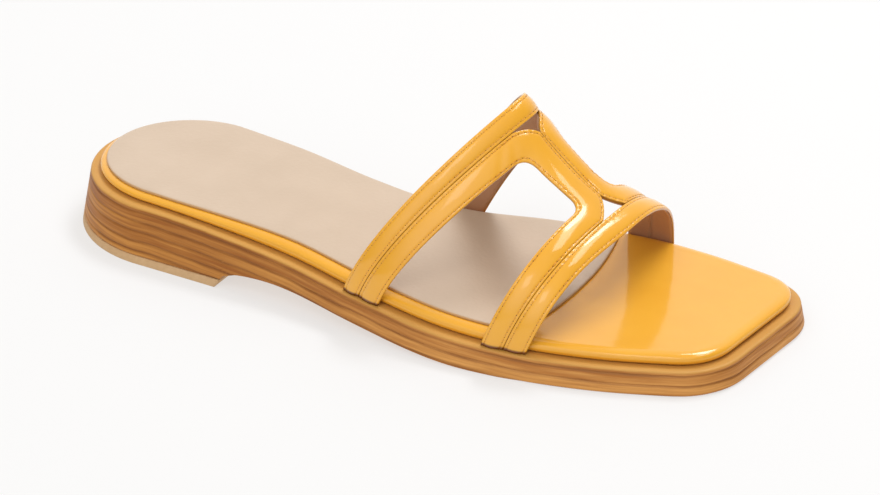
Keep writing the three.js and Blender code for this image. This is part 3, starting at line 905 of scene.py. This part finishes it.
# %% Sock
SOCK_INSET_STATIONS = [45.0, 95.0]
SOCK_INSETS = {"lateral": [1.7, 3.4], "medial": [1.7, 1.9]}
SOCK_FRONT_Y = np.array([-60.0, -21, 7, 30, 60])
SOCK_FRONT_X = np.array([182.0, 187.9, 188.4, 184.9, 176])
SOCK_ROWS = [
    {"height": -0.01, "inset": 0.05, "cut": 1},
    {"height": 0.4, "inset": 0.0, "cut": 1},
    {"height": 0.75, "inset": 0.04, "cut": 1},
    {"height": 0.95, "inset": 0.2, "cut": 0.3},
    {"height": 1.06, "inset": 0.5, "cut": 0},
    {"height": 1.1, "inset": 1.1, "cut": 0},
]


def sock_front(y):
    return through(SOCK_FRONT_Y, SOCK_FRONT_X, y)


sock_ends = {}
for side in SIGN:
    inset_line = offset_line(side, lambda x: -np.interp(x, SOCK_INSET_STATIONS, SOCK_INSETS[side]))
    sock_ends[side] = resample(clipped(inset_line, sock_front), SIDE_STEPS)
front_y = np.linspace(sock_ends["lateral"][-1, 1], sock_ends["medial"][-1, 1], FRONT_STEPS + 1)
sock_loop, sock_normals = loop_of(
    sock_ends["lateral"], np.column_stack([sock_front(front_y), front_y]), sock_ends["medial"]
)
sock_rings = []
for row in SOCK_ROWS:
    level = sock_loop - sock_normals * row["inset"]
    sock_rings.append(np.column_stack([level, bed_top(level[:, 0]) + row["height"]]))
sock_points, sock_faces, sock_side = slab(
    sock_rings,
    lambda x: bed_top(x) + SOCK_ROWS[0]["height"],
    lambda x: bed_top(x) + SOCK_ROWS[-1]["height"],
)
sock_cut = np.zeros(len(sock_points))
sock_cut[:sock_side] = np.repeat([row["cut"] for row in SOCK_ROWS], len(sock_loop))
sock = piece("sock_cover", sock_points, sock_faces, SOCK, fold=sock_cut)
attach(sock, "root")
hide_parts("sock_lining")
print("sock:", len(sock_faces), "faces")

# %% [markdown]
# ## The wall that the straps lie on
# Both straps and the bridge are parts of one curved wall over the instep. Four edges run over it from
# the lateral to the medial side of the sole, each made of two Bezier curves that meet at the crown, and
# a smooth curve runs across them from back to front. Any place on the wall is then two numbers: how far
# round it is, from -1 at the lateral foot to 1 at the medial foot, and its edge number from 0 to 3.

# %% Strap edges
STRAP_FEET = {
    "lateral": [119.0, 134.0, 174.5, 190.5],
    "medial": [118.0, 133.5, 182.5, 199.5],
}
CROWN_X = [159.0, 171.0, 191.0, 205.5]
CROWN_Z = [73.9, 61.7, 46.3, 38.9]
CROWN_Y = 7.1
# How much each edge rises at the crown for each millimetre to the medial side.
CROWN_TILT = [0.18, 0.14, 0.03, 0.13]
REAR_ARCH = {
    "lateral": {"rise": 0.53, "crown": 0.26, "lean": 0.44, "flare": 0.22},
    "medial": {"rise": 0.75, "crown": 0.75, "lean": 0.45, "flare": 0.18},
    "sweep": 0.17,
}
FRONT_ARCH = {
    "lateral": {"rise": 0.64, "crown": 0.6, "lean": 0.42, "flare": 0.14},
    "medial": {"rise": 0.3, "crown": 0.64, "lean": -0.06, "flare": 0.0},
    "sweep": 0.12,
}
ARCHES = [REAR_ARCH, REAR_ARCH, FRONT_ARCH, FRONT_ARCH]
STRAP_FOOT_OFFSET = 2.25
STRAP_FOOT_GAP = 0.35
EDGE_STEPS = 600
CURVE_STEPS = 2400
LAST_EDGE = 3


def half_edge(number, side):
    """One strap edge from its foot on one side of the sole up to the crown, evenly spaced."""
    arch = ARCHES[number]
    shape = arch[side]
    x = STRAP_FEET[side][number]
    y = SIGN[side] * (float(half_width(side, x)) + STRAP_FOOT_OFFSET)
    foot = np.array([x, y, float(outsole_top(x)) + STRAP_FOOT_GAP])
    crown = np.array([CROWN_X[number], CROWN_Y, CROWN_Z[number]])
    rise = shape["rise"] * (crown[2] - foot[2])
    reach = shape["crown"] * (foot[1] - CROWN_Y)
    over_foot = foot + rise * np.array([shape["lean"], SIGN[side] * shape["flare"], 1])
    beside_crown = crown + reach * np.array([arch["sweep"], 1, CROWN_TILT[number]])
    t = np.linspace(0, 1, CURVE_STEPS)[:, None]
    lower = (1 - t) ** 3 * foot + 3 * t * (1 - t) ** 2 * over_foot
    upper = 3 * t ** 2 * (1 - t) * beside_crown + t ** 3 * crown
    return resample(lower + upper, EDGE_STEPS)


EDGE_POINTS = np.array([[half_edge(number, side) for number in range(LAST_EDGE + 1)] for side in SIGN])
EDGE_LENGTHS = np.linalg.norm(np.diff(EDGE_POINTS, axis=2), axis=3).sum(axis=2)
print("strap edge lengths, mm:", EDGE_LENGTHS.sum(axis=0).round(1))

# %% Wall
def wall(around, edge):
    """Middle of the strap wall at places given by two arrays."""
    share = (1 - np.minimum(np.abs(around), 1)) * EDGE_STEPS
    low = np.minimum(share.astype(int), EDGE_STEPS - 1)
    part = (share - low)[..., None]
    side = np.where(around < 0, 0, 1)
    knots = []
    for number in range(LAST_EDGE + 1):
        start = EDGE_POINTS[side, number, low]
        end = EDGE_POINTS[side, number, low + 1]
        knots.append(start * (1 - part) + end * part)
    knots = np.stack([2 * knots[0] - knots[1], *knots, 2 * knots[3] - knots[2]])
    first = np.clip(edge.astype(int), 0, LAST_EDGE - 1)
    a, b, c, d = (np.take_along_axis(knots, (first + k)[None, ..., None], axis=0)[0] for k in range(4))
    ab, bc, cd = (np.linalg.norm(q - p, axis=-1)[..., None] for p, q in ((a, b), (b, c), (c, d)))
    leave = ((b - a) / ab - (c - a) / (ab + bc) + (c - b) / bc) * bc
    arrive = ((c - b) / bc - (d - b) / (bc + cd) + (d - c) / cd) * bc
    u = (edge - first)[..., None]
    return b + u * (leave + u * (3 * (c - b) - 2 * leave - arrive + u * (leave + arrive - 2 * (c - b))))


NORMAL_STEP = 0.012


def wall_normal(around, edge):
    before = np.maximum(around - NORMAL_STEP, -1)
    after = np.minimum(around + NORMAL_STEP, 1)
    behind = np.maximum(edge - NORMAL_STEP, 0)
    ahead = np.minimum(edge + NORMAL_STEP, LAST_EDGE)
    along = wall(after, edge) - wall(before, edge)
    across = wall(around, ahead) - wall(around, behind)
    normal = np.cross(across, along)
    return normal / np.linalg.norm(normal, axis=-1)[..., None]


def place(distance, edge):
    """A place on the wall from a distance to the crown line in mm, negative on the lateral side."""
    lengths = EDGE_LENGTHS[0 if distance < 0 else 1]
    return np.array([distance / float(through(np.arange(LAST_EDGE + 1.0), lengths, edge)), edge])


print("top of the straps:", wall(np.array([0.0]), np.array([0.0]))[0].round(1), "mm")

# %% [markdown]
# ## Edges of the four bands
# The upper is four padded bands: one along the back, one along the front and a frame round each window.
# The frames run up the rear strap, turn along the bridge and run down the front strap. Each band is held
# as two edges on the wall with the same number of stations, built from straight runs and bends.

# %% Band edges
REAR_SEAM = 0.45
WINDOW_BACK = 1.0
WINDOW_FRONT = 2.0
FRONT_SEAM = 2.5
BRIDGE_HALF_WIDTHS = {"lateral": 10.0, "medial": 8.0}
WINDOW_CORNER = 6.0
WINDOW_CORNER_EDGES = 0.23
REAR_HALF_WIDTH = 8.8
REAR_TRIANGLE = {"shoulder": 2.0, "shoulder_edge": 0.56, "tip_edge": 0.79}
FRONT_HALF_WIDTHS = {"lateral": 8.4, "medial": 4.6}
FRONT_TRIANGLE = {"shoulder": 1.5, "shoulder_edge": 2.26, "tip_edge": 2.03}
OUTER_STEPS = 450
FRAME_STEPS = [200, 70, 66, 70, 180]


def run(start, end, steps):
    return start + (end - start) * np.linspace(0, 1, steps + 1)[:, None]


def joined(stretches):
    return np.vstack([stretches[0]] + [stretch[1:] for stretch in stretches[1:]])


def outer_edge(edge):
    return run(np.array([-1.0, edge]), np.array([1.0, edge]), OUTER_STEPS)


# The front band is a little narrower over the lateral toes: how much, in edge numbers, and where.
FRONT_TRIM = 0.065
FRONT_TRIM_FROM = -0.95
FRONT_TRIM_TO = 0.0


def front_edge():
    line = outer_edge(float(LAST_EDGE))
    share = np.clip((line[:, 0] - FRONT_TRIM_FROM) / (FRONT_TRIM_TO - FRONT_TRIM_FROM), 0, 1)
    line[:, 1] -= FRONT_TRIM * np.sin(np.pi * share) ** 2
    return line


def frame_edges(side):
    """The seam edge and the window edge of the frame on one side."""
    sign = SIGN[side]

    def at(distance, edge):
        return place(sign * distance, edge)

    def foot(edge):
        return np.array([sign, edge])

    rear, front = REAR_TRIANGLE, FRONT_TRIANGLE
    rear_side = at(REAR_HALF_WIDTH, REAR_SEAM)
    rear_tip = np.array([0.0, rear["tip_edge"]])
    front_tip = np.array([0.0, front["tip_edge"]])
    front_side = at(FRONT_HALF_WIDTHS[side], FRONT_SEAM)
    steps = FRAME_STEPS
    seam = joined([
        run(foot(REAR_SEAM), rear_side, steps[0]),
        bend(rear_side, at(rear["shoulder"], rear["shoulder_edge"]), rear_tip, steps[1]),
        run(rear_tip, front_tip, steps[2]),
        bend(front_tip, at(front["shoulder"], front["shoulder_edge"]), front_side, steps[3]),
        run(front_side, foot(FRONT_SEAM), steps[4]),
    ])
    bridge = BRIDGE_HALF_WIDTHS[side]
    reach = bridge + WINDOW_CORNER
    corners = [
        (at(reach, WINDOW_BACK), at(bridge, WINDOW_BACK), at(bridge, WINDOW_BACK + WINDOW_CORNER_EDGES)),
        (at(bridge, WINDOW_FRONT - WINDOW_CORNER_EDGES), at(bridge, WINDOW_FRONT), at(reach, WINDOW_FRONT)),
    ]
    window = joined([
        run(foot(WINDOW_BACK), corners[0][0], steps[0]),
        bend(*corners[0], steps[1]),
        run(corners[0][2], corners[1][0], steps[2]),
        bend(*corners[1], steps[3]),
        run(corners[1][2], foot(WINDOW_FRONT), steps[4]),
    ])
    return seam, window


lateral_seam, lateral_window = frame_edges("lateral")
medial_seam, medial_window = frame_edges("medial")
BANDS = [
    {"name": "rear", "first": outer_edge(0.0), "second": outer_edge(REAR_SEAM), "seam": "second"},
    {"name": "lateral frame", "first": lateral_seam, "second": lateral_window, "seam": "first"},
    {"name": "medial frame", "first": medial_window, "second": medial_seam, "seam": "second"},
    {"name": "front", "first": outer_edge(FRONT_SEAM), "second": front_edge(), "seam": "first"},
]
print(len(BANDS), "bands with", [len(band["first"]) for band in BANDS], "stations")

# %% [markdown]
# ## Padded straps
# A padded strap is leather folded over a thin foam, stitched close to each edge. From the edge inwards
# the leather turns up round the fold, dips at the stitch line and swells over the foam. A cloth
# simulation would lose edges this small, so the section is swept along the band, with distances in real
# millimetres whatever the width. One table is for a free edge and one for an edge at a seam, which is
# steeper; both carry painted shade where the leather turns under, the seam one more. The leather
# puckers once for each stitch, the creases where the strap bends are soft troughs placed along a band,
# and the ends are darkened with painted shade where they reach the sole.

# %% Section of a band
# Rows from the edge inwards: distance in, height over the wall, and painted shade where the leather turns
# under.
FREE_EDGE = [
    {"in": 0.7, "height": -0.62, "fold": 0.6},
    {"in": 0.2, "height": -0.68, "fold": 0.5},
    {"in": 0.03, "height": -0.5, "fold": 0.35},
    {"in": 0.0, "height": -0.2, "fold": 0.25},
    {"in": 0.02, "height": 0.1, "fold": 0.15},
    {"in": 0.1, "height": 0.3, "fold": 0.05},
    {"in": 0.26, "height": 0.44, "fold": 0.0},
    {"in": 0.5, "height": 0.52, "fold": 0.0},
    {"in": 0.8, "height": 0.56, "fold": 0.0},
]
SEAM_EDGE = [
    {"in": 0.7, "height": -0.62, "fold": 0.68},
    {"in": 0.2, "height": -0.64, "fold": 0.68},
    {"in": 0.02, "height": -0.6, "fold": 0.68},
    {"in": 0.01, "height": -0.2, "fold": 0.68},
    {"in": 0.01, "height": 0.16, "fold": 0.68},
    {"in": 0.06, "height": 0.34, "fold": 0.5},
    {"in": 0.18, "height": 0.46, "fold": 0.12},
    {"in": 0.42, "height": 0.53, "fold": 0.0},
    {"in": 0.8, "height": 0.56, "fold": 0.0},
]
TOP_DISTANCES = [1.0, 1.2, 1.4, 1.65, 2.0, 2.5]
TOP_SHARES = [0.25, 0.5, 0.75]
FLANGE_HEIGHT = FREE_EDGE[-1]["height"]
FLANGE_WIDTH = FREE_EDGE[-1]["in"]
PAD_RISE = 0.44
# Painted shade at the strap ends where they reach the sole: its length and its fade.
END_SHADE_LENGTH = 1.5
END_SHADE_FADE = 0.7
STITCH_INSET = 1.2
STITCH_GROOVE = 0.12
STITCH_GROOVE_WIDTH = 0.3
STITCH_PITCH = 2.3
PUCKERED_ROWS = 4
PUCKER_RISE = 0.045
PUCKER_REACH = 1.5
CREASES = [
    {"band": "lateral frame", "along": 0.395, "width": 2.4, "depth": 0.22, "lean": 0.3},
    {"band": "lateral frame", "along": 0.425, "width": 1.8, "depth": 0.16, "lean": -0.2},
    {"band": "lateral frame", "along": 0.80, "width": 3.2, "depth": 0.18, "lean": 0.25},
    {"band": "front", "along": 0.24, "width": 3.4, "depth": 0.16, "lean": 0.2},
    {"band": "medial frame", "along": 0.60, "width": 2.2, "depth": 0.18, "lean": 0.2},
    {"band": "rear", "along": 0.33, "width": 4.0, "depth": 0.12, "lean": -0.2},
]


def on_wall(band, shares, heights):
    """Points over the wall at shares of the band's width, for every station and share."""
    first = band["first"][:, None, :]
    second = band["second"][:, None, :]
    at = first + (second - first) * shares[..., None]
    around, edge = at[..., 0], at[..., 1]
    return wall(around, edge) + wall_normal(around, edge) * heights[..., None]


def distances(line):
    """How far along a line of points each point is."""
    return np.concatenate([[0], np.cumsum(np.linalg.norm(np.diff(line, axis=0), axis=1))])


def band_sizes(band):
    """Width of the band at each station, and the distance along its middle."""
    edges = [wall(band[key][:, 0], band[key][:, 1]) for key in ("first", "second")]
    return np.linalg.norm(edges[1] - edges[0], axis=1), distances((edges[0] + edges[1]) / 2)


def stitch_line(band, key):
    """Share of the width at which the row of stitches along one edge runs, and its points."""
    width, _ = band_sizes(band)
    share = STITCH_INSET / width
    if key == "second":
        share = 1 - share
    base = np.full((len(width), 1), FLANGE_HEIGHT)
    return share, on_wall(band, share[:, None], base)[:, 0]


def stitch_count(travelled):
    """Stitches passed at each station of a row that is spaced out evenly over its length."""
    return travelled / travelled[-1] * math.floor(travelled[-1] / STITCH_PITCH)


def top_height(inwards, width, stitches):
    """Height of the leather over the wall at a distance in from an edge."""
    half = width / 2 - FLANGE_WIDTH
    rise = np.clip((inwards - FLANGE_WIDTH) / half, 0, 1)
    dome = PAD_RISE * (1 - (1 - rise) ** 2)
    pucker = PUCKER_RISE * np.cos(2 * math.pi * stitches) * np.exp(-((inwards / PUCKER_REACH) ** 4))
    groove = STITCH_GROOVE * np.exp(-(((inwards - STITCH_INSET) / STITCH_GROOVE_WIDTH) ** 2))
    return FLANGE_HEIGHT + dome + pucker - groove


print("band widths, mm:", [band_sizes(band)[0].round(1)[len(band["first"]) // 4] for band in BANDS])

# %% Sweep the bands
def crease_drop(band, shares, width, travelled):
    drop = np.zeros_like(shares)
    for crease in CREASES:
        if crease["band"] == band["name"]:
            away = travelled - crease["along"] * travelled[-1] + crease["lean"] * (shares - 0.5) * width
            drop += crease["depth"] * np.exp(-((away / crease["width"]) ** 2))
    return drop


def half_section(band, key, width):
    """From one edge to near the middle: distances in, heights and painted shade, for every station."""
    table = SEAM_EDGE if band["seam"] == key else FREE_EDGE
    ones = np.ones_like(width)
    edge_in, edge_up, edge_fold = (np.array([row[name] for row in table]) * ones for name in table[0])
    _, line = stitch_line(band, key)
    stitches = stitch_count(distances(line))[:, None]
    top_in = np.array(TOP_DISTANCES) * ones
    swell_in = top_in[:, -1:] + (width / 2 - top_in[:, -1:]) * np.array(TOP_SHARES)
    over_in = np.hstack([top_in, swell_in])
    edge_up[:, -PUCKERED_ROWS:] += PUCKER_RISE * np.cos(2 * math.pi * stitches)
    heights = np.hstack([edge_up, top_height(over_in, width, stitches)])
    return np.hstack([edge_in, over_in]), heights, np.hstack([edge_fold, np.zeros_like(over_in)])


def band_section(band):
    """Shares of the width and heights over the wall for every station, and how much painted shade each
    gets.
    """
    width, travelled = (values[:, None] for values in band_sizes(band))
    near_in, near_up, near_fold = half_section(band, "first", width)
    far_in, far_up, far_fold = (half[:, ::-1] for half in half_section(band, "second", width))
    middle = np.full_like(width, 0.5)
    crown = np.full_like(width, FLANGE_HEIGHT + PAD_RISE)
    shares = np.hstack([near_in / width, middle, 1 - far_in / width])
    heights = np.hstack([near_up, crown, far_up])
    heights -= crease_drop(band, shares, width, travelled)
    # Painted shade at both ends of the band.
    from_end = np.minimum(travelled, travelled[-1] - travelled)
    end_shade = np.clip((END_SHADE_LENGTH - from_end) / END_SHADE_FADE, 0, 1)
    return shares, heights, np.maximum(np.hstack([near_fold, 0 * middle, far_fold]), end_shade)


def swept(sections):
    """Points and faces of closed rings swept along, with both ends capped."""
    stations, count = sections.shape[:2]
    faces = ring_faces(stations, count)
    faces.append(tuple(range(count - 1, -1, -1)))
    faces.append(tuple(range((stations - 1) * count, stations * count)))
    return sections.reshape(-1, 3), faces


def gathered(parts):
    """Several lists of points and faces as one."""
    points, faces, start = [], [], 0
    for part_points, part_faces in parts:
        points.append(part_points)
        faces += [tuple(index + start for index in face) for face in part_faces]
        start += len(part_points)
    return np.vstack(points), faces


band_parts = []
band_folds = []
for band in BANDS:
    shares, heights, fold = band_section(band)
    band_parts.append(swept(on_wall(band, shares, heights)))
    band_folds.append(fold.ravel())
strap_points, strap_faces = gathered(band_parts)
straps = piece("strap_bands", strap_points, strap_faces, PATENT, fold=np.concatenate(band_folds))
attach(straps, "root")
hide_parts("upper")
print("straps:", len(strap_faces), "faces")

# %% [markdown]
# ## Strap lining
# Inside, each band is backed by thin tan leather, trimmed just short of the folded edge. It is the same
# sweep with a flat section, and it meets its neighbour at the seams.

# %% Strap lining
LINING_TOP = -0.6
LINING_FLOOR = -1.02
LINING_TRIM = 0.4
LINING_POINTS = 7
LINING_ACROSS = np.linspace(0, 1, LINING_POINTS)

lining_parts = []
for band in BANDS:
    width, _ = band_sizes(band)
    width = width[:, None]
    trims = [0.0 if band["seam"] == key else LINING_TRIM for key in ("first", "second")]
    start = trims[0] / width
    span = 1 - (trims[0] + trims[1]) / width
    over = start + span * LINING_ACROSS
    shares = np.hstack([over, over[:, ::-1]])
    flat = np.ones_like(over)
    heights = np.hstack([flat * LINING_TOP, flat * LINING_FLOOR])
    lining_parts.append(swept(on_wall(band, shares, heights)))
lining_points, lining_faces = gathered(lining_parts)
lining = piece("strap_lining", lining_points, lining_faces, LINING)
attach(lining, "root")
print("lining:", len(lining_faces), "faces")

# %% [markdown]
# ## Stitches
# A row of stitches runs along both edges of every band and ends a stitch short of the feet. Placing
# hundreds by hand would be slow, so the rows are drawn as lines that carry the wall's normal, and a
# Geometry Nodes tree sets one small rounded shape at each step, lying along the row and facing out of the
# wall. The same tree paints the shade in the needle holes: a shorter, darker shape moved half a step on,
# so one dark dot falls between two stitches.

# %% Stitch tree
BALL_SEGMENTS = 8
BALL_RINGS = 6
BALL_RADIUS = 0.5


def stitch_tree():
    tree, given = new_tree("stitch rows", {
        "Pitch": "NodeSocketFloat",
        "Shift": "NodeSocketVector",
        "Size": "NodeSocketVector",
        "Material": "NodeSocketMaterial",
    })
    row = node(tree, "GeometryNodeMeshToCurve", {"Mesh": given["Geometry"]})
    steps = node(tree, "GeometryNodeResampleCurve", {
        "Curve": row, "Length": given["Pitch"],
    }, mode="LENGTH")
    tangent = node(tree, "GeometryNodeInputTangent")
    outward = node(tree, "GeometryNodeInputNamedAttribute", {"Name": "outward"}, data_type="FLOAT_VECTOR")
    laid = node(tree, "FunctionNodeAlignRotationToVector", {"Vector": tangent}, axis="X")
    facing = node(tree, "FunctionNodeAlignRotationToVector", {
        "Rotation": laid, "Vector": outward,
    }, axis="Z", pivot_axis="X")
    ball = node(tree, "GeometryNodeMeshUVSphere", {
        "Segments": BALL_SEGMENTS, "Rings": BALL_RINGS, "Radius": BALL_RADIUS,
    })
    shaped = node(tree, "GeometryNodeTransform", {
        "Geometry": ball, "Translation": given["Shift"], "Scale": given["Size"],
    })
    set_out = node(tree, "GeometryNodeInstanceOnPoints", {
        "Points": steps, "Instance": shaped, "Rotation": facing,
    })
    return close_tree(tree, set_out, given["Material"])


STITCHES = stitch_tree()
print("stitch tree:", len(STITCHES.nodes), "nodes")

# %% Stitch rows
THREAD_LENGTH = 1.6
THREAD_WIDTH = 0.52
THREAD_HEIGHT = 0.4
THREAD_SINK = 0.06
# Size and sink of the dark shape that paints the shade in each needle hole.
HOLE_LENGTH = 0.45
HOLE_WIDTH = 0.42
HOLE_HEIGHT = 0.1
HOLE_SINK = 0.04


def stitch_rows(name):
    """Lines along both edges of every band, over the stitch groove, a stitch short at both feet."""
    points, normals, edges, start = [], [], [], 0
    for band in BANDS:
        for key in ("first", "second"):
            share, line = stitch_line(band, key)
            at = band["first"] + (band["second"] - band["first"]) * share[:, None]
            outward = wall_normal(at[:, 0], at[:, 1])
            passed = stitch_count(distances(line))
            sewn = slice(np.searchsorted(passed, 1) - 1, np.searchsorted(passed, passed[-1] - 1) + 1)
            points.append(line[sewn])
            normals.append(outward[sewn])
            count = len(points[-1])
            edges += [(start + i, start + i + 1) for i in range(count - 1)]
            start += count
    return piece(name, np.vstack(points), [], THREAD, edges=edges, outward=np.vstack(normals))


THREAD_SIZE = (THREAD_LENGTH, THREAD_WIDTH, THREAD_HEIGHT)
HOLE_SIZE = (HOLE_LENGTH, HOLE_WIDTH, HOLE_HEIGHT)
SEWN = [
    ("strap_stitches", (0, 0, -THREAD_SINK), THREAD_SIZE, THREAD),
    ("strap_needle_hole_shade", (STITCH_PITCH / 2, 0, -HOLE_SINK), HOLE_SIZE, NEEDLE_HOLE_SHADE),
]
for name, shift, size, material in SEWN:
    made = grown(stitch_rows(name), STITCHES, {
        "Pitch": STITCH_PITCH * MM, "Shift": [value * MM for value in shift],
        "Size": [value * MM for value in size], "Material": material,
    })
    made.data.shade_smooth()
    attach(made, "root")
    print(name + ":", len(made.data.polygons), "faces")

# %% [markdown]
# ## Floor and light
# The sandal stands on a sweep of translucent white sheet that glows from below, so the floor is pale and
# the contact shadow faint. The room is dim and warm, with two soft glows, one behind the sandal and one in
# front, which the world's nodes draw by direction. Gloss needs something to reflect, so three soft boxes
# hang where their images fall on the straps, and the plain sRGB view keeps the colours as written.

# %% Floor
FLOOR_REACH = 6.0
SWEEP_GREY = "#989898"
SWEEP_ROUGHNESS = 0.9
SWEEP_SPECULAR = 0.1
SWEEP_LIGHT = "#FFFFFF"
SWEEP_GLOW = 0.58

floor_mesh = bpy.data.meshes.new("floor")
corners = [(-FLOOR_REACH, -FLOOR_REACH, 0), (FLOOR_REACH, -FLOOR_REACH, 0),
           (FLOOR_REACH, FLOOR_REACH, 0), (-FLOOR_REACH, FLOOR_REACH, 0)]
floor_mesh.from_pydata(corners, [], [(0, 1, 2, 3)])
floor = bpy.data.objects.new("floor", floor_mesh)
# To the eye: an even matt white without an edge.
sweep = bpy.data.materials.new("white translucent sweep")
sweep.use_nodes = True
wire(sweep.node_tree, sweep.node_tree.nodes["Principled BSDF"], {
    "Base Color": linear(SWEEP_GREY), "Roughness": SWEEP_ROUGHNESS, "Specular IOR Level": SWEEP_SPECULAR,
    "Emission Color": linear(SWEEP_LIGHT), "Emission Strength": SWEEP_GLOW,
})
floor_mesh.materials.append(sweep)
bpy.context.collection.objects.link(floor)
print("floor", 2 * FLOOR_REACH, "m across")

# %% Light
ROOM_TINT = "#FFEBD2"
ROOM_BRIGHTNESS = 0.18
GLOWS = [
    {"name": "backdrop", "brightness": 0.98, "tightness": 1, "azimuth": 210, "elevation": 5},
    {"name": "front wall", "brightness": 1.65, "tightness": 4, "azimuth": 12, "elevation": 40},
]
SOFT_BOXES = [
    {"name": "key box", "tint": "#F8FBFF", "power": 8.7,
     "azimuth": 173, "elevation": 62, "distance": 1.6, "wide": 0.5, "high": 0.4},
    {"name": "top box", "tint": "#FFFFFF", "power": 5.3,
     "azimuth": 130, "elevation": 66, "distance": 1.6, "wide": 0.76, "high": 0.42},
    {"name": "side box", "tint": "#FFFFFF", "power": 1.4,
     "azimuth": 22, "elevation": 55, "distance": 1.6, "wide": 0.45, "high": 0.45},
]


def towards(azimuth, elevation):
    """Unit vector to a place in the room; azimuth 0 is the outer side of the sandal and 90 its toe."""
    azimuth, elevation = math.radians(azimuth), math.radians(elevation)
    level = Vector((math.sin(azimuth), -math.cos(azimuth), 0)) * math.cos(elevation)
    return level + Vector((0, 0, math.sin(elevation)))


world = bpy.data.worlds.new("dim warm room")
world.use_nodes = True
sky = world.node_tree
direction = node(sky, "ShaderNodeTexCoord").outputs["Generated"]
lit = [ROOM_BRIGHTNESS * channel for channel in linear(ROOM_TINT)[:3]]
for glow in GLOWS:
    middle = towards(glow["azimuth"], glow["elevation"])
    facing = node(sky, "ShaderNodeVectorMath", {0: direction, 1: middle}, operation="DOT_PRODUCT")
    ahead = node(sky, "ShaderNodeMath", {0: facing, 1: 0}, operation="MAXIMUM")
    drawn_in = node(sky, "ShaderNodeMath", {0: ahead, 1: glow["tightness"]}, operation="POWER")
    strength = node(sky, "ShaderNodeMath", {0: drawn_in, 1: glow["brightness"]}, operation="MULTIPLY")
    lit = node(sky, "ShaderNodeVectorMath", {0: lit, 1: strength}, operation="ADD")
wire(sky, sky.nodes["Background"], {"Color": lit})
bpy.context.scene.world = world
bpy.context.scene.view_settings.view_transform = "Standard"

for box in SOFT_BOXES:
    light = bpy.data.lights.new(box["name"], "AREA")
    light.shape = "RECTANGLE"
    light.size = box["wide"]
    light.size_y = box["high"]
    light.energy = box["power"]
    light.color = linear(box["tint"])[:3]
    stand = towards(box["azimuth"], box["elevation"]) * box["distance"]
    lamp = bpy.data.objects.new(box["name"], light)
    lamp.location = stand
    lamp.rotation_euler = stand.to_track_quat("Z", "Y").to_euler()
    bpy.context.collection.objects.link(lamp)
print(len(SOFT_BOXES), "soft boxes")
